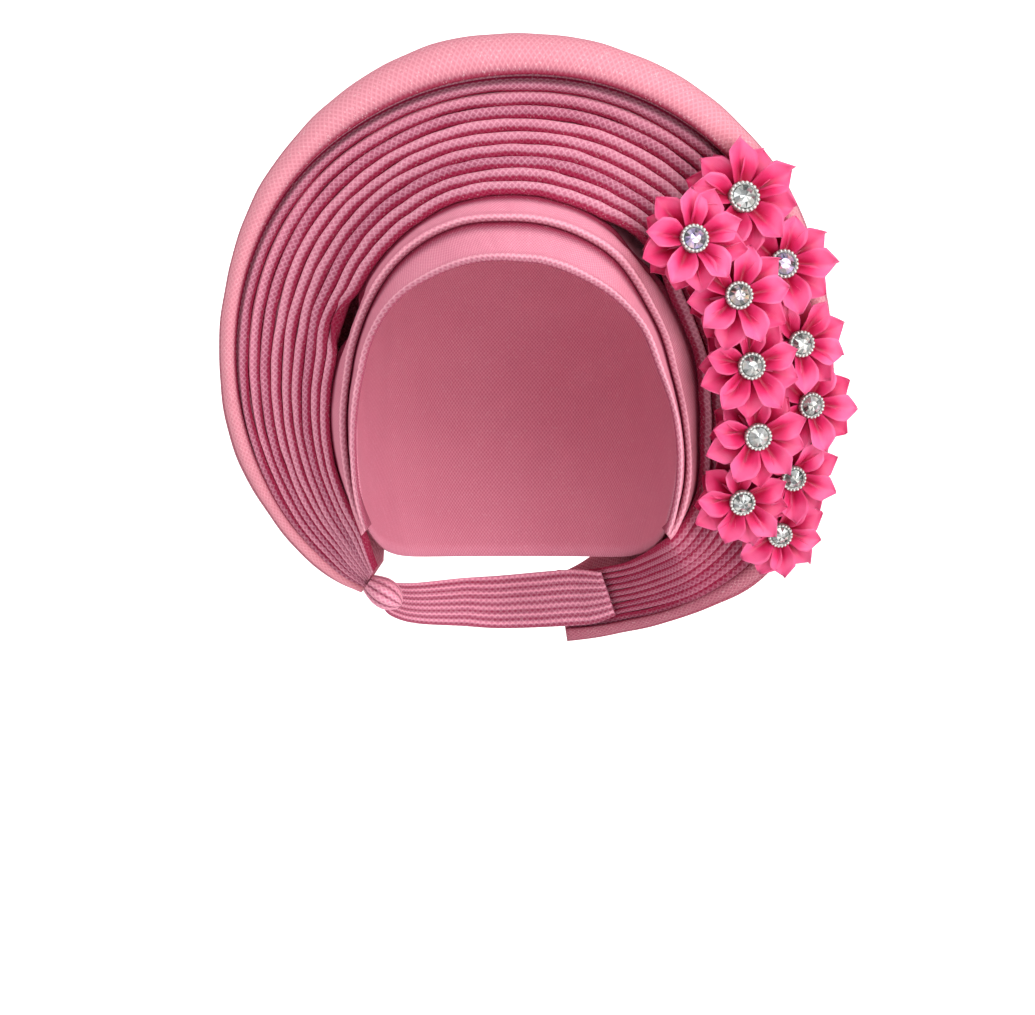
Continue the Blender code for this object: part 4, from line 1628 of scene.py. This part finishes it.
# The flowers, from the top down.
FLOWERS = (
    FlowerPlace(33.0, 0.824, 1.00, -0.608, 97.0, 0.28, 0.12),
    FlowerPlace(30.2, 0.610, 0.90, -0.771, 24.0, 0.22, 0.10, Gleam.VIOLET),
    FlowerPlace(16.3, 0.862, 0.92, -0.470, 72.0, 0.26, 0.04, Gleam.VIOLET),
    FlowerPlace(11.1, 0.688, 0.88, -0.653, 6.0, 0.20, 0.02, Gleam.WARM),
    FlowerPlace(-0.7, 0.889, 0.85, -0.347, 60.0, 0.32, -0.08),
    FlowerPlace(-6.8, 0.727, 0.87, -0.513, 20.0, 0.20, -0.14),
    FlowerPlace(-12.5, 0.953, 0.84, -0.207, 72.0, 0.28, -0.20),
    FlowerPlace(-22.5, 0.812, 0.87, -0.367, 26.0, 0.18, -0.26),
    FlowerPlace(-26.8, 0.983, 0.82, -0.116, 60.0, 0.24, -0.34),
    FlowerPlace(-36.5, 0.879, 0.83, -0.209, 30.0, 0.14, -0.36),
    FlowerPlace(-36.8, 1.053, 0.80, 0.050, 66.0, 0.18, -0.40),
)


@dataclass(frozen=True)
class PetalForm:
    """The form that all petals share, in shares of a petal's length or, for heights, of the radius.

    Attributes:
        start: where a petal starts.
        widest: how far out it has its full width.
        widening: the power by which it widens up to there.
        taper: how much of it narrows to the tip.
        pointing: the power by which it narrows.
        least: its least width, as a share of its full width.
        cup_start: how far out its sides stand up fully.
        cup_fade: how much of the cup is gone at the tip.
        groove: how deep the groove along its middle is.
        arch: how high its middle stands.
        curl: how far its tip turns up.
        curl_start: how far out that sets in.
        twist: how much higher one side is than the other.
        pinch: how much narrower its base is drawn.
        base_shade: how deep its painted shade is at the base.
        groove_shade: how deep its painted shade is along the groove.
        uneven_length: how much single petals differ in length.
        uneven_turn: how far they turn to a side, as a share of a petal.
        uneven_cup: how much their cups differ.
        uneven_rise: how much they differ in height at the tip.
        uneven_twist: how much they differ in twist.
        uneven_shade: how much they differ in shade.
    """

    start: float = 0.10
    widest: float = 0.48
    widening: float = 0.48
    taper: float = 0.30
    pointing: float = 0.85
    least: float = 0.03
    cup_start: float = 0.4
    cup_fade: float = 0.75
    groove: float = 0.11
    arch: float = 0.10
    curl: float = 0.07
    curl_start: float = 0.75
    twist: float = 0.05
    pinch: float = 0.12
    base_shade: float = 1.35
    groove_shade: float = 1.15
    uneven_length: float = 0.06
    uneven_turn: float = 0.06
    uneven_cup: float = 0.3
    uneven_rise: float = 0.05
    uneven_twist: float = 0.09
    uneven_shade: float = 0.12


@dataclass(frozen=True)
class PetalLayer:
    """One layer of a flower's petals.

    Attributes:
        turn: how far it is turned, as a share of a petal.
        reach: the petals' length, as a share of the flower's radius.
        lift: its height above the flower's centre, as a share of the radius.
        rise: how much the petals rise towards their tips, as a share of the radius.
        wide: half a petal's width, as a share of the radius.
        cup: how far its sides stand up near the base, as a share of the radius.
        shade: how much painted shade it has all over, more on the layers underneath.
    """

    turn: float
    reach: float
    lift: float
    rise: float
    wide: float
    cup: float
    shade: float


@dataclass
class RibbonFlower:
    """A ribbon flower: layers of pointed petals, a calyx, a beaded setting and a cut stone.

    Attributes:
        number: the flower's number, from the top.
        place_at: where it sits.
        radius: the largest flower's radius.
        petals: petals in a layer.
        ribbon: the ribbon's thickness.
        ribbon_run: how many times the flower's width its ribbon is long.
        seat: the stone's seat above the flower's centre.
        stone_radius: the setting's radius on the largest flower.
        beads: small stones round the setting.
        bead_ring: how far out they stand, as a share of the setting's radius.
        bead_fill: how much of its room a bead takes.
        sides: how many sides the stone has.
        stone_lift: how far the stone's foot lies above the setting's.
        stone_edge: how thick the stone's edge is.
        stone_star: how high the ring of its star lies above its foot.
        stone_top: how high its apex lies above its foot.
        calyx_width: the calyx's widest radius, as a share of the flower's.
        calyx_drop: how far its top lies below the flower's centre, as a share of its radius.
        calyx_pleat: how deep its gathers are, as a share of its radius.
        stitches: the calyx's radius where it is sewn on.
        form: the form that all its petals share.
        layers: the layers of petals, the top one first.
    """

    number: int
    place_at: FlowerPlace
    radius: float = 0.0245
    petals: int = 5
    ribbon: float = 0.0005
    ribbon_run: float = 2.4
    seat: float = 0.0017
    stone_radius: float = 0.0068
    beads: int = 20
    bead_ring: float = 0.87
    bead_fill: float = 0.92
    sides: int = 12
    stone_lift: float = 0.0012
    stone_edge: float = 0.0010
    stone_star: float = 0.0023
    stone_top: float = 0.0026
    calyx_width: float = 0.46
    calyx_drop: float = 0.10
    calyx_pleat: float = 0.14
    stitches: float = 0.0042
    form: PetalForm = PetalForm()
    layers: tuple[PetalLayer, ...] = (
        PetalLayer(0.0, 0.97, 0.02, 0.09, 0.29, 0.30, 0.0),
        PetalLayer(0.5, 1.03, -0.11, 0.03, 0.31, 0.26, 0.10),
        PetalLayer(0.25, 0.92, -0.24, -0.12, 0.34, 0.20, 0.34),
        PetalLayer(0.75, 0.88, -0.32, -0.22, 0.34, 0.18, 0.46),
    )

    def axes(self) -> tuple[Array, Array, Array, Array]:
        """The flower's axes.

        Returns:
            Its centre, the way it faces, and the two directions across it.
        """
        at = self.place_at
        lines = FanLines(np.array([at.angle]), False)
        centre = lines.space(np.array([[[at.reach * FAN_RADIUS, at.depth * HALF_LENGTH]]]))[0, 0]
        facing = unit(np.array([at.lean_x, -1.0, at.lean_z]))
        right = -unit(np.cross(facing, [0.0, 0.0, 1.0]))
        up = -np.cross(right, facing)
        turn = math.radians(at.spin)
        first = right * math.cos(turn) + up * math.sin(turn)
        return centre, facing, first, np.cross(facing, first)

    def spaced(self, turn: Array, reach: Array, height: Array) -> Array:
        """Turns, reaches and heights about the flower's axis, as places.

        Args:
            turn: the turns about the axis.
            reach: the distances from it.
            height: the heights above the flower's centre.

        Returns:
            The places.
        """
        centre, facing, first, second = self.axes()
        flat = np.cos(turn)[..., None] * first + np.sin(turn)[..., None] * second
        return centre + facing * height[..., None] + flat * reach[..., None]

    def petal_layer(self, layer: PetalLayer, seed: int) -> Shape:
        """A layer of petals, each a pointed boat of folded ribbon.

        A petal's half width grows as a power of the way out to the middle, and narrows from two
        thirds of it to the tip. Its height is the layer's own rise and a low arch, plus its sides'
        cup, which is nearly the square of the way across and fades towards the tip, less a groove
        along its middle. Its tip curls up. Its painted shade is deepest at the base and along that groove.

        Args:
            layer: the layer.
            seed: makes its petals uneven.

        Returns:
            The shape.
        """
        radius = self.radius * self.place_at.size
        uneven = np.random.default_rng(seed).uniform(-1.0, 1.0, (4, self.petals, 1, 1))
        s = np.linspace(0.0, 1.0, 15)[None, :, None]
        x = np.linspace(-1.0, 1.0, 11)[None, None, :]
        form = self.form
        growing = (s / form.widest) ** form.widening
        ending = ((1.0 - s) / form.taper) ** form.pointing
        half = layer.wide * radius * np.clip(np.minimum(growing, ending), form.least, 1.0)
        out = radius * layer.reach * (form.start + (1 - form.start + form.uneven_length * uneven[0]) * s)
        cup = layer.cup * np.clip(s / form.cup_start, 0.0, 1.0) ** 1.5 * (1 - form.cup_fade * s)
        cup = cup * (np.abs(x) ** 1.8) * (1 + form.uneven_cup * uneven[1])
        groove = form.groove * (1 - np.abs(x)) ** 3 * np.sin(np.pi * np.clip(s * 1.25, 0.0, 1.0))
        at_tip = np.clip((s - form.curl_start) / (1 - form.curl_start), 0.0, 1.0)
        curl = form.curl * (1 + uneven[2]) * at_tip**2
        twist = form.uneven_twist * uneven[3] * x * s + form.twist * x * s
        arch = form.arch * np.sin(np.pi * s)
        rise = (layer.rise + form.uneven_rise * uneven[0]) * s
        height = radius * (layer.lift + rise + arch + cup - groove + curl + twist)
        side = half * x * (1 - form.pinch * (1 - s))
        petal = np.arange(self.petals)[:, None, None]
        middle = 2 * np.pi * (petal + layer.turn + form.uneven_turn * uneven[1]) / self.petals
        turn = middle + np.arctan2(side, out)
        reach = np.hypot(side, out)
        # Painted shade: deepest at the base and along the groove, and more on the lower layers.
        deep = np.clip(form.base_shade * (1 - s * 1.65) * (1 - 0.45 * np.abs(x)), 0.0, 1.0)
        fold = form.groove_shade * (1 - np.abs(x)) ** 2.4 * np.clip(1 - s / 0.92, 0.0, 1.0)
        own = form.uneven_shade * (1 + uneven[2])
        shade = np.clip(deep + fold + own + layer.shade, 0.0, 1.0) * np.ones_like(reach)
        top = self.spaced(turn, reach, height)
        low = self.spaced(turn, reach, height - self.ribbon)
        like = shell(top[0], low[0], shade[0], shade[0])
        rings = np.concatenate([top, low[:, :, ::-1]], axis=2)
        shades = np.concatenate([shade, shade[:, :, ::-1]], axis=2)
        return repeated(like, rings.reshape(self.petals, -1, 3), shades.reshape(self.petals, -1))

    def calyx(self) -> Shape:
        """The gathered ribbon behind the petals: a cone that narrows to the stitches on the cloth.

        Returns:
            The shape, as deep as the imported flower.
        """
        radius = self.radius * self.place_at.size
        centre, facing, _, _ = self.axes()
        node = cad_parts[f"flower_{self.number}"]
        flat = np.empty(len(node.data.vertices) * 3, np.float32)
        node.data.vertices.foreach_get("co", flat)
        foot = float(((flat.reshape(-1, 3) - centre) @ facing).min())
        s = np.linspace(0.0, 1.0, 16)[:, None]
        t = np.linspace(0.0, 2 * np.pi, 60, endpoint=False)[None, :]
        pleat = 1 + self.calyx_pleat * np.cos(10 * t + 1.5 * s)
        widest, top = self.calyx_width * radius, -self.calyx_drop * radius
        reach = (self.stitches + (widest - self.stitches) * (1 - s) ** 1.6) * pleat
        height = top + (foot - top) * s + 0 * t
        rings = self.spaced(t + 0 * s, reach, height)
        # Painted shade: the calyx is dark under the petals, darkest in its gathers' hollows.
        shade = np.clip(0.75 - 0.6 * (pleat - 1) / self.calyx_pleat, 0.1, 1.0)
        return rounded(rings, centre + facing * top / 2, centre + facing * foot, shade)

    def setting(self) -> Shape:
        """The setting: a turned cup, with a ring of small round stones held on its rim.

        Returns:
            The shape.
        """
        size = self.place_at.size
        outer = self.stone_radius * size
        base = self.seat + SEAT_GAP
        reach, height, dark = (np.array(column)[:, None] for column in zip(*SETTING_CUP.rows))
        t = np.linspace(0.0, 2 * np.pi, 40, endpoint=False)[None, :]
        rings = self.spaced(t + 0 * reach, outer * reach + 0 * t, base + height + 0 * t)
        shade = np.broadcast_to(dark, rings.shape[:2])
        centre, facing, first, second = self.axes()
        inside = base + height[-1, 0]
        cup = rounded(rings, centre + facing * base, centre + facing * inside, shade)
        level = np.linspace(0.0, np.pi, 7)[1:-1, None]
        round_it = np.linspace(0.0, 2 * np.pi, 8, endpoint=False)[None, :]
        ring = outer * self.bead_ring
        bead = math.pi * ring / self.beads * self.bead_fill
        ball = np.stack(
            [
                np.sin(level) * np.cos(round_it),
                np.sin(level) * np.sin(round_it),
                np.cos(level) + 0 * round_it,
            ],
            axis=-1,
        )
        around = 2 * np.pi * np.arange(self.beads) / self.beads
        at = self.spaced(around, np.full(self.beads, ring), np.full(self.beads, base + height.max()))
        turned = ball @ np.stack([first, second, facing])
        like = rounded(turned, facing, -facing, np.zeros(turned.shape[:2]))
        points = at[:, None] + like.points[None] * bead
        return united(cup, repeated(like, points, np.zeros(points.shape[:2])))

    def stone(self) -> Shape:
        """The stone: star facets between an apex, a ring half way out and the girdle.

        Every facet has its own three points, so that each can have its own painted brightness.

        Returns:
            The shape.
        """
        size = self.place_at.size
        girdle = self.stone_radius * size * GIRDLE
        base = self.seat + SEAT_GAP + self.stone_lift
        count = self.sides
        turn = 2 * np.pi * np.arange(count) / count
        step = np.pi / count
        star = base + self.stone_star
        inner = self.spaced(turn + step, np.full(count, girdle * 0.50), np.full(count, star))
        edge = self.spaced(turn, np.full(count, girdle), np.full(count, base + self.stone_edge))
        under = self.spaced(turn, np.full(count, girdle), np.full(count, base))
        centre, facing, _, _ = self.axes()
        apex = np.broadcast_to(centre + facing * (base + self.stone_top), inner.shape)
        culet = np.broadcast_to(centre + facing * base, inner.shape)
        ahead = np.roll(np.arange(count), -1)
        facets = np.concatenate(
            [
                np.stack([apex, inner, inner[ahead]], 1),
                np.stack([inner, edge, edge[ahead]], 1),
                np.stack([inner, edge[ahead], inner[ahead]], 1),
                np.stack([edge, under, under[ahead]], 1),
                np.stack([edge, under[ahead], edge[ahead]], 1),
                np.stack([culet, under[ahead], under], 1),
            ]
        )
        # A seeded painted shade for each facet stands for its reflection: 0 shows the gleam's colours, 1 the
        # dark colour.
        bright = np.random.default_rng(self.number).uniform(0.0, 1.0, (len(facets), 1)) ** 0.8
        faces = np.arange(len(facets) * 3).reshape(-1, 3)
        uv = np.zeros((len(facets), 3, 2))
        shade = np.broadcast_to(bright, (len(facets), 3))
        return Shape(facets.reshape(-1, 3), [(faces, uv)], shade.ravel())

    def build(self, ribbon: bpy.types.Material, silver: bpy.types.Material, stones: dict) -> None:
        """Builds the flower, its setting and its stone.

        Args:
            ribbon: the ribbon's material.
            silver: the setting's material.
            stones: the stones' materials by gleam.
        """
        layers = [self.petal_layer(layer, 10 * self.number + i) for i, layer in enumerate(self.layers)]
        petals = united(*layers, self.calyx()).make(f"flower_{self.number}_petals", ribbon)
        place(petals, Slot.RIBBON, f"flower_{self.number}")
        setting = self.setting().make(f"flower_{self.number}_setting", silver)
        place(setting, Slot.METAL, f"setting_{self.number}")
        crystal = stones[self.place_at.gleam]
        stone = self.stone().make(f"flower_{self.number}_stone", crystal, flat=True)
        place(stone, Slot.CRYSTAL, f"stone_{self.number}")


@dataclass
class Studio:
    """The plain pale floor that curves up behind, the soft lights and the camera.

    Attributes:
        floor_drop: how far the floor lies below the crown.
        sky: how bright the surroundings shine on the head tie.
        pale: the floor's colour.
        glow: how much brighter the floor looks than the lights make it.
    """

    floor_drop: float = 0.62
    sky: float = 0.46
    pale: Colour = (0.92, 0.92, 0.92)
    glow: float = 0.45

    def floor(self) -> None:
        """Makes the floor: flat, then a quarter circle up to a plain wall behind."""
        bend = np.linspace(0.0, np.pi / 2, 17)
        depth = np.concatenate([[-4.0], 1.6 + 0.8 * np.sin(bend), [2.4]])
        height = np.concatenate([[0.0], 0.8 - 0.8 * np.cos(bend), [4.0]]) - self.floor_drop
        side = np.array([-4.0, 4.0])
        points = np.stack(np.broadcast_arrays(side[None, :], depth[:, None], height[:, None]), -1)
        rows = np.arange(len(depth) - 1)[:, None] * 2
        faces = rows + np.array([0, 1, 3, 2])
        mesh = bpy.data.meshes.new("floor")
        mesh.from_pydata(points.reshape(-1, 3), [], faces.tolist())
        mesh.shade_smooth()
        made, bench, shader = new_material("pale_floor")
        bench.feed(shader.inputs["Roughness"], bench.spread(bench.noise(3.0), 0.85, 0.95))
        shader.inputs["Base Color"].default_value = (*self.pale, 1.0)
        shader.inputs["Emission Color"].default_value = (*self.pale, 1.0)
        seen = bench.node("ShaderNodeLightPath").outputs["Is Camera Ray"]
        bench.feed(shader.inputs["Emission Strength"], bench.math("MULTIPLY", seen, self.glow))
        mesh.materials.append(made)
        floor = bpy.data.objects.new("floor", mesh)
        bpy.context.scene.collection.objects.link(floor)

    def light(self, name: str, place_at: tuple, aim: tuple, size: float, watts: float) -> None:
        """Adds a soft square light that looks at a point.

        Args:
            name: its name.
            place_at: where it stands.
            aim: the point that it looks at.
            size: its width.
            watts: its power.
        """
        data = bpy.data.lights.new(name, "AREA")
        data.size = size
        data.energy = watts
        made = bpy.data.objects.new(name, data)
        bpy.context.scene.collection.objects.link(made)
        way = np.array(aim) - np.array(place_at)
        made.location = place_at
        flat = math.hypot(way[0], way[1])
        heading = math.atan2(way[1], way[0]) - math.pi / 2
        made.rotation_euler = (math.atan2(flat, -way[2]), 0.0, heading)

    def lights(self) -> None:
        """Adds the lights and the pale surroundings."""
        middle, behind = (0.0, 0.0, -0.09), (0.0, 2.3, 0.2)
        self.light("key", (-0.15, -1.50, 1.20), middle, size=1.7, watts=19.5)
        self.light("fill", (0.85, -1.6, 0.10), middle, size=1.3, watts=17.0)
        self.light("side", (1.5, -0.9, -0.05), middle, size=0.9, watts=6.5)
        self.light("backdrop_left", (-1.6, 0.9, 1.2), behind, size=1.2, watts=22.0)
        self.light("backdrop_right", (1.6, 0.9, 1.2), behind, size=1.2, watts=22.0)
        world = bpy.data.worlds.new("studio")
        world.use_nodes = True
        bench = Bench(world.node_tree)
        seen = bench.node("ShaderNodeLightPath").outputs["Is Camera Ray"]
        sky = world.node_tree.nodes["Background"]
        sky.inputs[0].default_value = (1.0, 1.0, 1.0, 1.0)
        bench.feed(sky.inputs[1], bench.spread(seen, self.sky, 1.0))
        bpy.context.scene.world = world
        bpy.context.scene.view_settings.view_transform = "Standard"

    def camera(self) -> None:
        """Makes the camera at the photograph's viewing angle and makes it the scene's own."""
        data = bpy.data.cameras.new("photo_camera")
        data.sensor_width = SENSOR_WIDTH
        data.lens = SENSOR_WIDTH * CAMERA_REACH / (PHOTO_WIDTH_PX * METRES_PER_PX)
        data.clip_end = 20.0
        made = bpy.data.objects.new("photo_camera", data)
        bpy.context.scene.collection.objects.link(made)
        made.location = (0.0, PHOTO_PLANE_Y - CAMERA_REACH, -CENTRE_DROP)
        made.rotation_euler = (math.radians(90.0), 0.0, 0.0)
        bpy.context.scene.camera = made

    def build(self) -> None:
        """Builds the whole studio."""
        self.floor()
        self.lights()
        self.camera()


def main() -> None:
    """Builds and dresses every piece in order, then the studio."""
    logging.basicConfig(level=logging.INFO)
    make_diamond_weave()
    make_plain_weave()
    make_fleck()
    lattice = {"weave": Weave.DIAMOND, "pitch": 0.0028, "relief": 0.0003, "fleck": 0.1}
    # Three copies of the lattice cloth, from lighter to deeper. On the first three pleats the deeper copies
    # are painted shade under the wrap's roll; the seventh pleat's deep copy only varies the tone from pleat
    # to pleat.
    light = WovenCloth("lattice_light", linear(250, 184, 200), linear(228, 146, 168), **lattice).material()
    middle = WovenCloth("lattice_middle", linear(246, 178, 195), linear(218, 132, 156), **lattice).material()
    deep = WovenCloth("lattice_deep", linear(236, 168, 187), linear(198, 112, 137), **lattice).material()
    rim = WovenCloth(
        "rim_cloth",
        linear(232, 157, 169),
        linear(215, 133, 148),
        weave=Weave.DIAMOND,
        pitch=0.0026,
        relief=0.00025,
        fleck=0.2,
    ).material()
    band = WovenCloth(
        "brow_cloth",
        linear(236, 158, 176),
        linear(212, 120, 144),
        weave=Weave.PLAIN,
        pitch=0.0014,
        relief=0.00018,
        fleck=0.08,
        piping=0.0034,
    ).material()
    OuterWrap().build(rim)
    PleatedFan().build([deep, middle, deep, light, light, light, deep, light, light])
    BrowFolds().build(band)
    CrownCap().build(band)
    knot = SideKnot()
    knot.build(middle)
    NapeTie().build(middle, knot)
    ribbon = SatinRibbon(
        "satin_ribbon", linear(244, 106, 158), linear(218, 42, 104), linear(176, 0, 58)
    ).material()
    silver = Silver("bright_setting", linear(208, 210, 206)).material()
    stones = {gleam: CutCrystal(f"crystal_{gleam.name.lower()}", gleam).material() for gleam in Gleam}
    for number, place_at in enumerate(FLOWERS, 1):
        RibbonFlower(number, place_at).build(ribbon, silver, stones)
    Studio().build()


if __name__ == "__main__":
    main()
